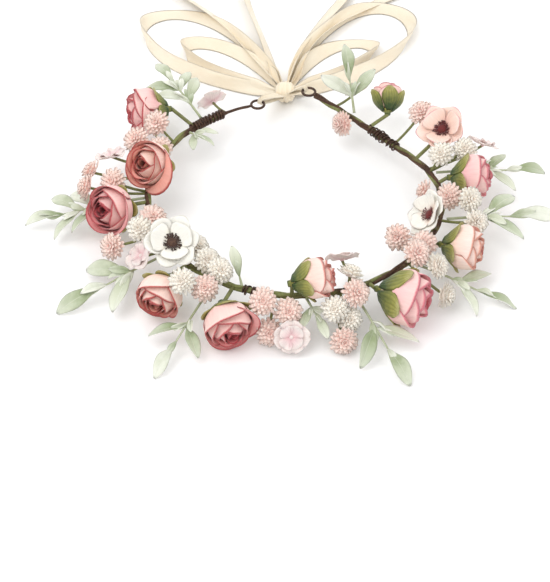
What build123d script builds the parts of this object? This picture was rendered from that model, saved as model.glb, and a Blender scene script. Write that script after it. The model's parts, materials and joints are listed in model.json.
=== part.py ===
"""Flower crown: an open hoop of paper-wrapped wire that carries wired fabric roses, anemones, florets,
pompom mums and leaf sprigs, and closes at the back with a doubled satin ribbon tied in a bow.

Millimetres. The origin is the centre of the hoop, in the plane of its centreline. +Z is up, +Y points to
the bow at the back, and +X is to the right of someone who looks at the front. Angles go round the hoop
from +X towards +Y, in degrees. The crown lies on a surface FLOOR_DROP below the hoop's plane.
"""

from build123d import *

import os
from math import cos, radians, sin

# ---- hoop -----------------------------------------------------------------------------------------
HOOP_RADIUS = 85.0  # centreline of the hoop
FLOOR_DROP = 18.0  # from the hoop's plane down to the surface it lies on
WIRE_RADIUS = 0.8  # steel core
WRAP_RADIUS = 2.0  # outside of the paper wrap
FLEX_ANGLE = 264.0  # where the two bands meet, in the bare stretch at the front
FLEX_GAP = 0.6  # between the two bands' end faces
LEFT_BENDS = ((HOOP_RADIUS, 154.0),)  # radius and angle of each bend, from the front to the back
RIGHT_BENDS = ((HOOP_RADIUS, 85.0), (55.0, 53.0), (1200.0, 4.0))
EYE_RADIUS = 4.0  # centreline of the eye at each end
EYE_NECK = 1.5  # bare wire between the paper wrap and the eye
BINDING_RADIUS = 0.45  # thin wire that binds the stems to the hoop
BINDING_CLEARANCE = 0.15

# ---- flowers --------------------------------------------------------------------------------------
STEM_RADIUS = 1.1
STEM_GAP = 1.4  # between a stem's end and the flower that nods on it
STEM_SEAT = 1.0  # how deep a stem sits in the cup of a flower that doesn't nod
STEM_BITE = 0.8  # how deep a bound stem sits in the paper wrap
PETAL_THICKNESS = 0.8
LAYER_GAP = 0.4  # between the bud, the outer petals and the sepals
OUTER_PETALS = 3
OUTER_PETAL_ARC = 112.0
SEPALS = 5
SEPAL_ARC = 40.0
CUP_DEPTH = 4.0  # of the cup under an open flower
DISH_RISE = 0.35  # how far an open flower's rim stands up, as a share of its radius
POMPOM_RADIUS = {"pink": 7.4, "white": 7.0}
POMPOM_DEPTH = 6.0
THIN_STEM_RADIUS = 0.8  # stems of pompoms, florets and leaf sprigs
FLORET_RADIUS = 10.0

# ---- leaves ---------------------------------------------------------------------------------------
LEAF_THICKNESS = 0.7
LEAF_GAP = 0.15  # between a leaf's foot and its stem
LEAF_WIDTH_SHARE = 0.36  # a leaf's width over its length
LEAF_SPREAD = 46.0  # angle between a side leaf and its stem

# ---- ribbon ---------------------------------------------------------------------------------------
RIBBON_WIDTH = 10.0
RIBBON_THICKNESS = 0.5
FLOOR_GAP = 0.3  # between the ribbon and the surface
KNOT_SPOT = (-7.0, 109.0)  # behind the gap in the hoop
KNOT_RADIUS = 5.5
KNOT_LENGTH = 11.0
STRAND_START = 7.6  # from the knot's centre to where the bow's strands come out
HITCH_GAP = 0.4  # between the eye's wire and the ribbon folded round it
HITCH_END = 9.5  # from the knot's centre to where its ribbon comes out

# name: band, angle, out, height, azimuth, elevation, radius, length. The spot is the middle of the
# bloom, "out" is measured outwards from the hoop, and azimuth and elevation say where the bloom faces.
ROSES = {
    "rose_1": ("left", 142, 28, 4, 195, 5, 12.5, 27),
    "rose_2": ("left", 174.5, -2, 13, 230, 35, 11.5, 24),
    "rose_3": ("left", 190.5, 20, 3, 235, 28, 12.0, 26),
    "rose_4": ("left", 229, 24, -1, 250, -5, 11.0, 25),
    "rose_5": ("left", 251, 23, -2, 288, -8, 12.0, 26),
    "rose_6": ("right", 276, 1, 13, 5, 12, 9.5, 25),
    "rose_7": ("right", 304, 19, 2, 338, 0, 13.5, 31),
    "rose_8": ("right", 5, 16, 6, 352, 12, 11.0, 25),
    "rose_9": ("right", 332.5, 19, 3, 345, 5, 11.0, 25),
    "rose_10": ("right", 55, 13, 6, 88, 30, 8.0, 19),
}
# Roses with room round them nod on their stems, and sprigs with room bend at the hoop.
NODDING = ("rose_1", "rose_4", "rose_7", "rose_8", "rose_9", "rose_10")
BENDING = ("sprig_1", "sprig_10", "sprig_11", "sprig_12")
# name: band, angle, out, height, azimuth, elevation, radius, number of petals
ANEMONES = {
    "white_anemone": ("left", 222, 5, 14, 285, 58, 14.0, 6),
    "blush_anemone": ("right", 27, 13, 11, 240, 58, 13.0, 5),
    "cream_blossom": ("right", 337, -2, 12, 195, 40, 11.0, 5),
}
# colour, band, angle, out, height, azimuth, elevation
POMPOMS = (
    ("pink", "left", 150, 11, 12, 250, 50),
    ("pink", "left", 160, 16, 10, 235, 50),
    ("pink", "left", 160, 0, 8, 260, 55),
    ("pink", "left", 182, 20, 10, 250, 45),
    ("pink", "left", 182, 36, 6, 185, 20),
    ("pink", "left", 173, 36, 2, 165, 30),
    ("pink", "left", 203, 1, 10, 290, 60),
    ("white", "left", 207.5, 12, 11, 260, 50),
    ("pink", "left", 205.5, 28, 1, 235, 40),
    ("white", "left", 226.5, -8, 9, 330, 55),
    ("white", "left", 243, 2, 11, 300, 50),
    ("white", "left", 236.5, 23, 15, 260, 45),
    ("pink", "left", 241.5, 15, 8, 275, 50),
    ("white", "left", 235, -3, 9, 300, 50),
    ("pink", "left", 260.5, 14, 8, 270, 50),
    ("pink", "right", 268.5, 14, 2, 280, 45),
    ("pink", "left", 263, 20, -9, 275, 35),
    ("white", "right", 291.5, -1, 12, 60, 40),
    ("pink", "right", 290, 13, 10, 300, 45),
    ("white", "right", 282.5, 16, 4, 265, 45),
    ("white", "right", 287, 18, -4, 290, 40),
    ("pink", "right", 284, 27.5, -10, 280, 30),
    ("pink", "right", 321, -12, 8, 240, 40),
    ("pink", "right", 324, 3, 9, 255, 50),
    ("pink", "right", 316, 8, 14, 300, 50),
    ("white", "right", 320, 18, 6, 330, 40),
    ("white", "right", 317.6, 28.5, -7, 330, 10),
    ("pink", "right", 358, -11, 4, 170, 10),
    ("pink", "right", 352, 3, 9, 240, 40),
    ("white", "right", 351, 16, 10, 300, 40),
    ("white", "right", 343.5, 22, 6, 300, 40),
    ("pink", "right", 38, 10, 14, 240, 60),
    ("white", "right", 69, 18, 2, 120, 45),
    ("pink", "right", 66, -18, 2, 215, 20),
    ("white", "right", 13, 1.5, 14, 250, 50),
    ("white", "right", 16, 18, 10, 250, 50),
)
# band, angle, out, height, azimuth, elevation
FLORETS = (
    ("left", 166, 27, 4, 140, 55),
    ("left", 214.5, 17, 2, 200, 45),
    ("left", 120.5, 20, -2, 120, 20),
    ("right", 269.5, 25, -7, 270, 20),
    ("right", 293, -18, 5, 100, 35),
    ("right", 20, 33, 3, 60, 50),
)
# name: band, angle at the hoop, azimuth, elevation, stem length, bare length, pairs of leaves, leaf length
SPRIGS = {
    "sprig_1": ("left", 131, 123, 8, 36, 16, 2, 20),
    "sprig_2": ("left", 140, 320, 5, 6, 3, 1, 14),
    "sprig_3": ("left", 184, 188, -9, 50, 28, 2, 22),
    "sprig_4": ("left", 217, 208, -12, 44, 25, 1, 27),
    "sprig_5": ("left", 240, 242, -13, 46, 31, 1, 20),
    "sprig_6": ("left", 251, 110, 40, 6, 4, 0, 17),
    "sprig_7": ("right", 274, 298, -14, 12, 6, 1, 15),
    "sprig_8": ("right", 291.5, 299, -15, 40, 25, 1, 24),
    "sprig_9": ("right", 318, 343, -15, 42, 28, 1, 22),
    "sprig_10": ("right", 345, 2, 2, 38, 22, 1, 26),
    "sprig_11": ("right", 14, 7, -3, 46, 30, 1, 20),
    "sprig_12": ("right", 60, 100, 38, 22, 10, 1, 22),
}
# Ends of the two loops on each side of the bow, and the pulls that bend them: x and y from the knot.
LOOP_PULLS = {
    "left": (((-166, 34), (-74, 176)), ((-110, 34), (-58, 100))),
    "right": (((150, 44), (52, 190)), ((100, 44), (40, 100))),
}
# Points that each tail bends through, first the tail that leaves beside the loops: x and y from the knot.
TAIL_BENDS = {
    "left": (((-13, 44), (-34, 96), (-72, 108), (-96, 148)), ((-6, 40), (-16, 84), (-34, 112), (-26, 156))),
    "right": (((5, 40), (26, 92), (56, 112), (98, 142)), ((0, 40), (14, 84), (38, 112), (50, 150))),
}


def direction(azimuth, elevation):
    """Unit vector that points to an azimuth round the hoop and an elevation above its plane."""
    flat = cos(radians(elevation))
    return Vector(flat * cos(radians(azimuth)), flat * sin(radians(azimuth)), sin(radians(elevation)))


def spot(angle, out, height):
    """A point at an angle round the hoop, outside its centreline by out, and above its plane by height."""
    reach = HOOP_RADIUS + out
    return Vector(reach * cos(radians(angle)), reach * sin(radians(angle)), height)


def facing(point, azimuth, elevation):
    """Plane at a point, whose Z faces the azimuth and elevation, and whose X is level."""
    return Plane(origin=point, x_dir=direction(azimuth + 90, 0), z_dir=direction(azimuth, elevation))


def spun(base, turn):
    """The plane base, turned about its own Z."""
    return Plane(base.location * Rotation(0, 0, turn))


def profile_plane(base, turn=0.0):
    """Plane whose X is a radius of base, turned about base's Z, and whose Y is that Z."""
    turned = spun(base, turn)
    return Plane(origin=base.origin, x_dir=turned.x_dir, z_dir=-turned.y_dir)


def save(part, name):
    """Labels a finished piece and writes it as the STEP file of its node."""
    part.label = name
    export_step(part, f"parts/{name}.step")


def save_group(pieces, name):
    """Writes separate solids that share a node."""
    save(Compound(children=[piece.solid() for piece in pieces]), name)


os.makedirs("parts", exist_ok=True)


# ---- hoop: core wire with its eye, paper wrap and binding wire --------------------------------------
def hoop_line(start_angle, bends, sign):
    """Tangent arcs that start on the hoop's circle and turn by sign times each bend."""
    start = spot(start_angle, 0, 0)
    heading = direction(start_angle + 90 * sign, 0)
    with BuildLine() as line:
        for radius, angle in bends:
            arc = JernArc(start=start, tangent=heading, radius=radius, arc_size=sign * angle)
            start, heading = arc @ 1, arc % 1
    return line.wire()


half_gap_angle = FLEX_GAP / 2 / radians(1) / HOOP_RADIUS
BANDS = {
    "left": hoop_line(FLEX_ANGLE - half_gap_angle, LEFT_BENDS, -1),
    "right": hoop_line(FLEX_ANGLE + half_gap_angle, RIGHT_BENDS, 1),
}
eye_spots = {}
for band, line in BANDS.items():
    section = Plane(origin=line @ 0, z_dir=line % 0)
    neck_end = line @ 1 + (line % 1) * EYE_NECK
    eye_spots[band] = neck_end + (line % 1) * EYE_RADIUS
    with BuildPart() as core_wire:
        with BuildLine() as core_line:
            add(line)
            Line(line @ 1, neck_end)
        with BuildSketch(section):
            Circle(WIRE_RADIUS)
        sweep(path=core_line.wire())
        with Locations(eye_spots[band]):
            Torus(EYE_RADIUS, WIRE_RADIUS)
    save(core_wire.part, f"core_wire_{band}")

    with BuildPart() as paper_wrap:
        with BuildSketch(section):
            Circle(WRAP_RADIUS)
            Circle(WIRE_RADIUS, mode=Mode.SUBTRACT)
        sweep(path=line)
    save(paper_wrap.part, f"paper_wrap_{band}")


def binding(name, band, first, last, turns):
    """Turns of thin wire round a stretch of the hoop, from the share first to the share last of a band."""
    line = BANDS[band]
    rings = []
    for turn in range(turns):
        share = first + (last - first) * turn / (turns - 1)
        with BuildPart(Plane(origin=line @ share, z_dir=line % share)) as ring:
            Torus(WRAP_RADIUS + BINDING_RADIUS + BINDING_CLEARANCE, BINDING_RADIUS)
        rings.append(ring.part)
    save_group(rings, name)


binding("binding_wire_left", "left", 0.84, 0.91, 9)
binding("binding_wire_front", "left", 0.05, 0.07, 3)
binding("binding_wire_right", "right", 0.75, 0.81, 9)


# ---- flowers ---------------------------------------------------------------------------------------
def nearest_on_hoop(point, band):
    """The point of a band's centreline that is nearest to a point."""
    return Vertex(*point).distance_to_with_closest_points(BANDS[band])[2]


def stem_to_hoop(foot, band):
    """Plane at a stem's foot that looks to the nearest point of a band, and the stem's length from there."""
    reach = nearest_on_hoop(foot, band) - foot
    return Plane(origin=foot, z_dir=reach), reach.length - WRAP_RADIUS + STEM_BITE


def stem(foot, band):
    """A straight stem from a flower's foot into the paper wrap."""
    plane, length = stem_to_hoop(foot, band)
    with BuildPart(plane) as rod:
        Cylinder(STEM_RADIUS, length, align=(Align.CENTER, Align.CENTER, Align.MIN))
    return rod.part


def rose(name, angle, out, height, azimuth, elevation, radius, length):
    """A bud, the outer petals that wrap it, and a calyx with its sepals. Returns the foot of its stem."""
    middle = spot(angle, out, height)
    base = facing(middle - direction(azimuth, elevation) * length * 0.45, azimuth, elevation)
    axis = Axis(base.origin, base.z_dir)
    foot, waist = 0.12 * length, 0.5 * length
    foot_radius, rim_radius = 0.4 * radius, 0.86 * radius
    silhouette = ((foot_radius, foot), (radius, waist), (rim_radius, length))
    outside = ThreePointArc(*silhouette)

    with BuildPart() as bud:
        inset = PETAL_THICKNESS + LAYER_GAP
        with BuildSketch(profile_plane(base)):
            with BuildLine():
                side = ThreePointArc(
                    (foot_radius - inset, foot), (radius - inset, waist), (rim_radius - inset, 0.94 * length)
                )
                Polyline(side @ 1, (0, 0.84 * length), (0, foot), side @ 0)
            make_face()
        revolve(axis=axis)
    petals = [bud.part]
    for index in range(OUTER_PETALS):
        with BuildPart() as petal:
            with BuildSketch(profile_plane(base, index * 360 / OUTER_PETALS)):
                with BuildLine():
                    front = ThreePointArc(*silhouette)
                    back = ThreePointArc(*[(x - PETAL_THICKNESS, y) for x, y in silhouette])
                    Line(front @ 0, back @ 0)
                    Line(front @ 1, back @ 1)
                make_face()
            revolve(axis=axis, revolution_arc=OUTER_PETAL_ARC)
        petals.append(petal.part)
    save_group(petals, f"{name}_petals")

    cup = foot - LAYER_GAP
    with BuildPart() as calyx:
        with BuildSketch(profile_plane(base)):
            Polygon((0, 0), (STEM_RADIUS, 0), (foot_radius + LAYER_GAP, cup), (0, cup), align=None)
        revolve(axis=axis)
        for index in range(SEPALS):
            with BuildSketch(profile_plane(base, index * 360 / SEPALS)):
                with BuildLine():
                    inner = ThreePointArc(
                        (foot_radius, cup),
                        outside @ 0.22 + Vector(LAYER_GAP * 1.4, 0),
                        outside @ 0.42 + Vector(LAYER_GAP, 0),
                    )
                    outer = ThreePointArc(
                        (0.5 * foot_radius, cup * 0.4),
                        outside @ 0.22 + Vector(LAYER_GAP * 1.4 + PETAL_THICKNESS, 0),
                        outside @ 0.42 + Vector(LAYER_GAP + PETAL_THICKNESS, 0),
                    )
                    Line(inner @ 0, outer @ 0)
                    Line(inner @ 1, outer @ 1)
                make_face()
            revolve(axis=axis, revolution_arc=SEPAL_ARC)
    save(calyx.part, f"{name}_calyx")
    return base.origin + base.z_dir * (-STEM_GAP if name in NODDING else STEM_SEAT)


def lobed_dish(base, radius, lobes, rise):
    """A thin dish of fabric petals: a shallow bowl, cut to an outline of round lobes."""
    with BuildPart() as dish:
        with BuildSketch(profile_plane(base)):
            with BuildLine():
                under = ThreePointArc((0, 0), (0.6 * radius, 0.3 * rise), (radius, rise))
                over = ThreePointArc(
                    (0, PETAL_THICKNESS), (0.6 * radius, 0.3 * rise + PETAL_THICKNESS), (radius, rise + PETAL_THICKNESS)
                )
                Line(under @ 0, over @ 0)
                Line(under @ 1, over @ 1)
            make_face()
        revolve(axis=Axis(base.origin, base.z_dir))
        with BuildSketch(base.offset(-1)):
            Circle(0.5 * radius)
            with PolarLocations(0.56 * radius, lobes):
                Circle(0.42 * radius)
        extrude(amount=rise + 3, mode=Mode.INTERSECT)
    return dish.part


def anemone(name, angle, out, height, azimuth, elevation, radius, petals):
    """A dish of petals with a button of stamens in it. Returns the foot of its stem."""
    base = facing(spot(angle, out, height), azimuth, elevation)
    axis = Axis(base.origin, base.z_dir)
    with BuildPart() as dish:
        add(lobed_dish(base, radius, petals, DISH_RISE * radius))
        with BuildSketch(profile_plane(base)):
            Polygon((0, 0.2), (2 * STEM_RADIUS, 0.2), (STEM_RADIUS, -CUP_DEPTH), (0, -CUP_DEPTH), align=None)
        revolve(axis=axis)
    save(dish.part, f"{name}_petals")
    button = 0.3 * radius
    with BuildPart() as centre:
        with BuildSketch(profile_plane(base.offset(PETAL_THICKNESS + 3 * LAYER_GAP))):
            with BuildLine():
                dome = ThreePointArc((0, 0.8 * button), (0.7 * button, 0.55 * button), (button, 0))
                Polyline(dome @ 1, (0.4 * button, -LAYER_GAP), (0, -LAYER_GAP), dome @ 0)
            make_face()
        revolve(axis=axis)
    save(centre.part, f"{name}_centre")
    return base.origin - base.z_dir * (CUP_DEPTH - STEM_SEAT)


def pompom(colour, band, angle, out, height, azimuth, elevation):
    """A dome of florets on its own thin stem, bound to the hoop."""
    base = facing(spot(angle, out, height), azimuth, elevation).offset(-POMPOM_DEPTH / 2)
    radius = POMPOM_RADIUS[colour]
    plane, length = stem_to_hoop(base.origin, band)
    with BuildPart() as head:
        with BuildSketch(profile_plane(base)):
            with BuildLine():
                dome = ThreePointArc((0, POMPOM_DEPTH), (0.8 * radius, 0.7 * POMPOM_DEPTH), (radius, 0.25 * POMPOM_DEPTH))
                Polyline(dome @ 1, (0.3 * radius, 0), (0, 0), dome @ 0)
            make_face()
        revolve(axis=Axis(base.origin, base.z_dir))
        with Locations(plane.offset(-1).location):
            Cylinder(THIN_STEM_RADIUS, length + 1, align=(Align.CENTER, Align.CENTER, Align.MIN))
    return head.part


def floret(band, angle, out, height, azimuth, elevation):
    """A small open flower of four petals on its own thin stem, bound to the hoop."""
    base = facing(spot(angle, out, height), azimuth, elevation)
    plane, length = stem_to_hoop(base.origin, band)
    with BuildPart() as flower:
        add(lobed_dish(base, FLORET_RADIUS, 4, 0.2 * FLORET_RADIUS))
        with Locations(base.offset(PETAL_THICKNESS).origin):
            Sphere(1.4)
        with Locations(plane.offset(-0.4).location):
            Cylinder(THIN_STEM_RADIUS, length + 0.4, align=(Align.CENTER, Align.CENTER, Align.MIN))
    return flower.part


for band in BANDS:
    feet = [rose(name, *where[1:]) for name, where in ROSES.items() if where[0] == band]
    feet += [anemone(name, *where[1:]) for name, where in ANEMONES.items() if where[0] == band]
    save_group([stem(foot, band) for foot in feet], f"flower_stems_{band}")
    for colour in POMPOM_RADIUS:
        heads = [pompom(*where) for where in POMPOMS if where[:2] == (colour, band)]
        save_group(heads, f"{colour}_pompoms_{band}")
    save_group([floret(*where) for where in FLORETS if where[0] == band], f"blush_florets_{band}")


# ---- leaf sprigs -----------------------------------------------------------------------------------
def leaf(foot, length):
    """A pointed leaf that lies in the plane foot and grows along its X."""
    half_width = length * LEAF_WIDTH_SHARE / 2
    with BuildPart() as blade:
        with BuildSketch(foot):
            with BuildLine():
                ThreePointArc((0, 0), (0.45 * length, half_width), (length, 0))
                ThreePointArc((length, 0), (0.45 * length, -half_width), (0, 0))
            make_face()
        extrude(amount=LEAF_THICKNESS / 2, both=True)
    return blade.part


def sprig(name, band, angle, azimuth, elevation, length, bare, pairs, leaf_length):
    """A stem that leaves the hoop, with pairs of side leaves and one leaf at its end."""
    along = direction(azimuth, elevation)
    clear_of_wire = WRAP_RADIUS + 2 * (BINDING_RADIUS + BINDING_CLEARANCE) + THIN_STEM_RADIUS
    lift = clear_of_wire if name in BENDING else WRAP_RADIUS - STEM_BITE
    tangent = direction(angle + 90, 0)
    root = nearest_on_hoop(spot(angle, 0, 0), band) + along * (lift / along.cross(tangent).length)
    rod_plane = Plane(origin=root, x_dir=direction(azimuth + 90, 0), z_dir=along)
    with BuildPart(rod_plane) as rod:
        Cylinder(THIN_STEM_RADIUS, length, align=(Align.CENTER, Align.CENTER, Align.MIN))
    pieces = [rod.part]
    upward = along.cross(direction(azimuth + 90, 0))
    tip = root + along * (length + LEAF_GAP)
    pieces.append(leaf(Plane(origin=tip, x_dir=along, z_dir=upward), leaf_length))
    clear = (THIN_STEM_RADIUS + LEAF_GAP) / sin(radians(LEAF_SPREAD))
    for pair in range(pairs):
        fork = Plane(origin=root + along * (bare + (length - bare) * pair / pairs), x_dir=along, z_dir=upward)
        for side in (-1, 1):
            turned = spun(fork, side * LEAF_SPREAD)
            foot = Plane(origin=fork.origin + turned.x_dir * clear, x_dir=turned.x_dir, z_dir=upward)
            pieces.append(leaf(foot, leaf_length))
    save_group(pieces, name)


for name, where in SPRIGS.items():
    sprig(name, *where)


# ---- ribbon: knot, hitches to the eyes, loops and tails ---------------------------------------------
floor = -FLOOR_DROP + FLOOR_GAP
knot_centre = Vector(*KNOT_SPOT, floor + RIBBON_WIDTH / 2 + 1)
with BuildPart(Plane(origin=knot_centre, x_dir=(0, 1, 0), z_dir=(1, 0, 0))) as bow_knot:
    Cylinder(KNOT_RADIUS, KNOT_LENGTH)
    fillet(bow_knot.edges(), radius=KNOT_RADIUS * 0.45)
save(bow_knot.part, "bow_knot")


def hitch(band):
    """The ribbon from an eye to the knot: it is folded round the eye's wire, so it lies double."""
    eye = eye_spots[band]
    level = Vector(knot_centre.X - eye.X, knot_centre.Y - eye.Y, 0).normalized()
    near_wire = eye + level * EYE_RADIUS
    to_knot = knot_centre - near_wire
    reach = to_knot.length - HITCH_END
    run = Plane(origin=near_wire, x_dir=to_knot, z_dir=level.cross(Vector(0, 0, 1)))
    fold_radius = WIRE_RADIUS + HITCH_GAP + RIBBON_THICKNESS / 2
    pinch, wide = (EYE_RADIUS - WIRE_RADIUS) * 0.45, RIBBON_WIDTH / 2
    with BuildPart() as strands:
        with BuildSketch(run):
            with BuildLine() as centreline:
                upper = Line((reach, fold_radius), (0, fold_radius))
                fold = ThreePointArc(upper @ 1, (-fold_radius, 0), (0, -fold_radius))
                Line(fold @ 1, (reach, -fold_radius))
            trace(centreline.wire(), line_width=RIBBON_THICKNESS)
        extrude(amount=wide, both=True)
        with BuildSketch(Plane(origin=near_wire, x_dir=to_knot, z_dir=run.y_dir)):
            Polygon(
                (-EYE_RADIUS, -pinch), (WIRE_RADIUS, -pinch), (reach, -wide),
                (reach, wide), (WIRE_RADIUS, pinch), (-EYE_RADIUS, pinch), align=None,
            )
        extrude(amount=2 * fold_radius, both=True, mode=Mode.INTERSECT)
    save(strands.part, f"ribbon_hitch_{band}")


def on_edge(path):
    """A strand of ribbon that stands on its edge along a path on the surface."""
    with BuildPart(Plane.XY.offset(floor)) as strand:
        with BuildSketch():
            trace(path, line_width=RIBBON_THICKNESS)
        extrude(amount=RIBBON_WIDTH)
    return strand.part


def from_knot(pull):
    """Where a strand comes out of the knot, on its way to the first point that pulls it."""
    away = Vector(*pull).normalized() * STRAND_START
    return (KNOT_SPOT[0] + away.X, KNOT_SPOT[1] + away.Y)


def placed(pulls):
    """Points given from the knot, in the crown's frame."""
    return [(KNOT_SPOT[0] + x, KNOT_SPOT[1] + y) for x, y in pulls]


for side in LOOP_PULLS:
    hitch(side)
    loops = []
    for pulls in LOOP_PULLS[side]:
        with BuildLine() as loop_line:
            Bezier(from_knot(pulls[0]), *placed(pulls), from_knot(pulls[1]))
        loops.append(on_edge(loop_line.wire()))
    save_group(loops, f"bow_loops_{side}")
    tails = []
    for bends in TAIL_BENDS[side]:
        with BuildLine() as tail_line:
            Bezier(from_knot(bends[0]), *placed(bends))
        tails.append(on_edge(tail_line.wire()))
    save_group(tails, f"ribbon_tails_{side}")
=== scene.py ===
import json
import math

import bpy
import numpy as np
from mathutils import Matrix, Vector

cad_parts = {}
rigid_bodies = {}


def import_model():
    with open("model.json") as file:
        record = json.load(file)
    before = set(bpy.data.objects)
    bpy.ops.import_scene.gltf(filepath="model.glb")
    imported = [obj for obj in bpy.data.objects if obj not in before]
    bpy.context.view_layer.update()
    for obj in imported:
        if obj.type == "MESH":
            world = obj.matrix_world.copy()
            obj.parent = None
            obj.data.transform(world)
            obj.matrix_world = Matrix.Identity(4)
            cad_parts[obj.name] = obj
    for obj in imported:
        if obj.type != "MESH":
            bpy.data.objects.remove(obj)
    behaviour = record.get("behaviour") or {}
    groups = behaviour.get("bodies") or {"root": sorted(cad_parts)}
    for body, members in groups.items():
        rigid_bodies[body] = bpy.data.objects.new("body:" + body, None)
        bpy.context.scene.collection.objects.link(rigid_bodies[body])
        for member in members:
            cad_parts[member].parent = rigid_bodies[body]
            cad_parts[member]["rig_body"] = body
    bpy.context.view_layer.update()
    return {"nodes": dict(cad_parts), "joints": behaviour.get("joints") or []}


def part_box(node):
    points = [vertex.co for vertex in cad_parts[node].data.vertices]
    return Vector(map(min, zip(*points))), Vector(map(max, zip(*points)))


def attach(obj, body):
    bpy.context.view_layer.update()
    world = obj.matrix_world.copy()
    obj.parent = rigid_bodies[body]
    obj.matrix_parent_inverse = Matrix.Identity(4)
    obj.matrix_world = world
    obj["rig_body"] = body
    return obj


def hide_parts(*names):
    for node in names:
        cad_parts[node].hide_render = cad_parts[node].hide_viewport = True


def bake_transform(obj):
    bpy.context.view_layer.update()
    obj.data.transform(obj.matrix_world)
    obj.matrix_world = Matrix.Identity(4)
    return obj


bl_info = {
    "name": "Flower crown",
    "version": (1, 0, 0),
    "blender": (4, 5, 0),
    "location": "3D View > Sidebar > Crown",
    "description": "Builds the looks of a flower crown on its packed frame",
    "category": "Object",
}

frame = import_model()
FLOOR_HEIGHT = -0.018
PIVOT = next(joint["pos_m"] for joint in frame["joints"] if joint["name"] == "hoop_flex")
KNOT = np.array((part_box("bow_knot")[0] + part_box("bow_knot")[1]) / 2)
TURN = 2 * math.pi
UP = np.array((0, 0, 1.0))
AXIS_GAP = 0.0002


# ---- reading the frame -------------------------------------------------------------------------------
def body_of(node):
    """Name of the body that a CAD node belongs to."""
    return frame["nodes"][node]["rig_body"]


def box_of(node):
    """Lowest and highest corners of a CAD node."""
    return [np.array(corner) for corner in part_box(node)]


def solids(node):
    """The separate solids of a node, each as an array of triangles (n, 3 corners, 3). Corners in the same
    place count as one, and the lowest label in each triangle spreads to its corners until none changes."""
    mesh = frame["nodes"][node].data
    points = np.empty(len(mesh.vertices) * 3)
    mesh.vertices.foreach_get("co", points)
    points = points.reshape(-1, 3)
    mesh.calc_loop_triangles()
    corners = np.empty(len(mesh.loop_triangles) * 3, dtype=np.int64)
    mesh.loop_triangles.foreach_get("vertices", corners)
    places, same = np.unique(points.round(6), axis=0, return_inverse=True)
    triangles = same.ravel()[corners].reshape(-1, 3)
    label = np.arange(len(places))
    while True:
        spread = label.copy()
        np.minimum.at(spread, triangles.ravel(), np.repeat(label[triangles].min(1), 3))
        spread = spread[spread]
        if (spread == label).all():
            break
        label = spread
    owner = label[triangles[:, 0]]
    found = [places[triangles[owner == one]] for one in np.unique(owner)]
    areas = [weights(one).sum() for one in found]
    least_share = 0.02
    return [one for one, area in zip(found, areas) if area > least_share * max(areas)]


def long_normals(triangles):
    """The cross product of two sides of each triangle."""
    return np.cross(triangles[:, 1] - triangles[:, 0], triangles[:, 2] - triangles[:, 0])


def weights(triangles):
    """Area of each triangle: half the length of its long normal."""
    return np.linalg.norm(long_normals(triangles), axis=1) / 2


def centroid(triangles):
    """The middle of a surface: the mean of its triangles' middles, weighted by area."""
    return np.average(triangles.mean(1), axis=0, weights=weights(triangles))


def unit(vector):
    """A vector divided by its length."""
    return vector / np.linalg.norm(vector)


def near_middle(triangles, reach):
    """Which triangles lie within reach of the median of their middles, and that median."""
    middles = triangles.mean(1)
    middle = np.median(middles, axis=0)
    return np.linalg.norm(middles - middle, axis=1) < reach, middle


def axis_of_turning(triangles, reach):
    """Axis of a turned head on a stem, as a point and an upward direction. Every normal of a turned surface
    meets its axis, so with normals n at points p the axis is the direction a and moment m that make
    (p x n).a + n.m smallest over the triangles within reach of the head's middle. Triangles that miss it,
    such as the stem's, count for less in each of the repeats."""
    scale, repeats, softening = 200, 12, 0.01
    near, middle = near_middle(triangles, reach)
    middles, normals = triangles.mean(1)[near] - middle, long_normals(triangles[near])
    areas = np.linalg.norm(normals, axis=1)
    normals /= areas[:, None] + 1e-15
    rows = np.hstack([np.cross(middles, normals) * scale, normals])
    trust = areas
    for _ in range(repeats):
        lowest = np.linalg.svd(rows * np.sqrt(trust)[:, None], full_matrices=False)[2][-1]
        trust = areas / (np.abs(rows @ lowest) + softening)
    moment, direction = lowest[3:], lowest[:3] * scale
    size = np.linalg.norm(direction) * (-1 if direction[2] < 0 else 1)
    direction, moment = direction / size, moment / size
    return middle + np.cross(direction, moment), direction


def axis_of_dish(triangles, reach):
    """Middle and upward direction of an open flower: the direction in which its triangles within reach of its
    middle spread least, weighted by area."""
    near = near_middle(triangles, reach)[0]
    middles, areas = triangles.mean(1)[near], weights(triangles[near])
    middle = np.average(middles, axis=0, weights=areas)
    direction = np.linalg.eigh(np.cov((middles - middle).T, aweights=areas))[1][:, 0]
    return middle, direction * np.sign(direction[2])


def standing(axis):
    """Turning matrix whose columns are a level x, y, and the axis as z."""
    across = unit(np.cross(UP, axis))
    return np.column_stack([across, np.cross(axis, across), axis])


def about(triangles, origin, axis):
    """Heights of a shape's corners along an axis from an origin, and their distances from the axis."""
    corners = triangles.reshape(-1, 3) - origin
    height = corners @ axis
    return height, np.linalg.norm(corners - height[:, None] * axis, axis=1)


# ---- surfaces ----------------------------------------------------------------------------------------
def grid(rows, columns):
    """Even parameters on a grid: u from 0 to 1 along the columns and v from 0 to 1 down the rows."""
    v, u = np.meshgrid(np.linspace(0, 1, rows), np.linspace(0, 1, columns), indexing="ij")
    return u, v


def each(values):
    """Values of several like surfaces, shaped so that they spread over the surfaces' grids."""
    return np.asarray(values, float)[:, None, None]


def stack(x, y, z):
    """Coordinates x, y and z as one array of points."""
    return np.stack(np.broadcast_arrays(x, y, z), axis=-1)


def fanned(far, across, height, turn):
    """Points at a distance far from an axis, and across from there, turned about the axis."""
    cosine, sine = np.cos(turn), np.sin(turn)
    return stack(far * cosine - across * sine, far * sine + across * cosine, height)


def rise(value, start, end):
    """0 before start, 1 after end, and a smooth rise between them, 3t^2 - 2t^3."""
    share = np.clip((value - start) / (end - start), 0, 1)
    return share * share * (3 - 2 * share)


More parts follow.
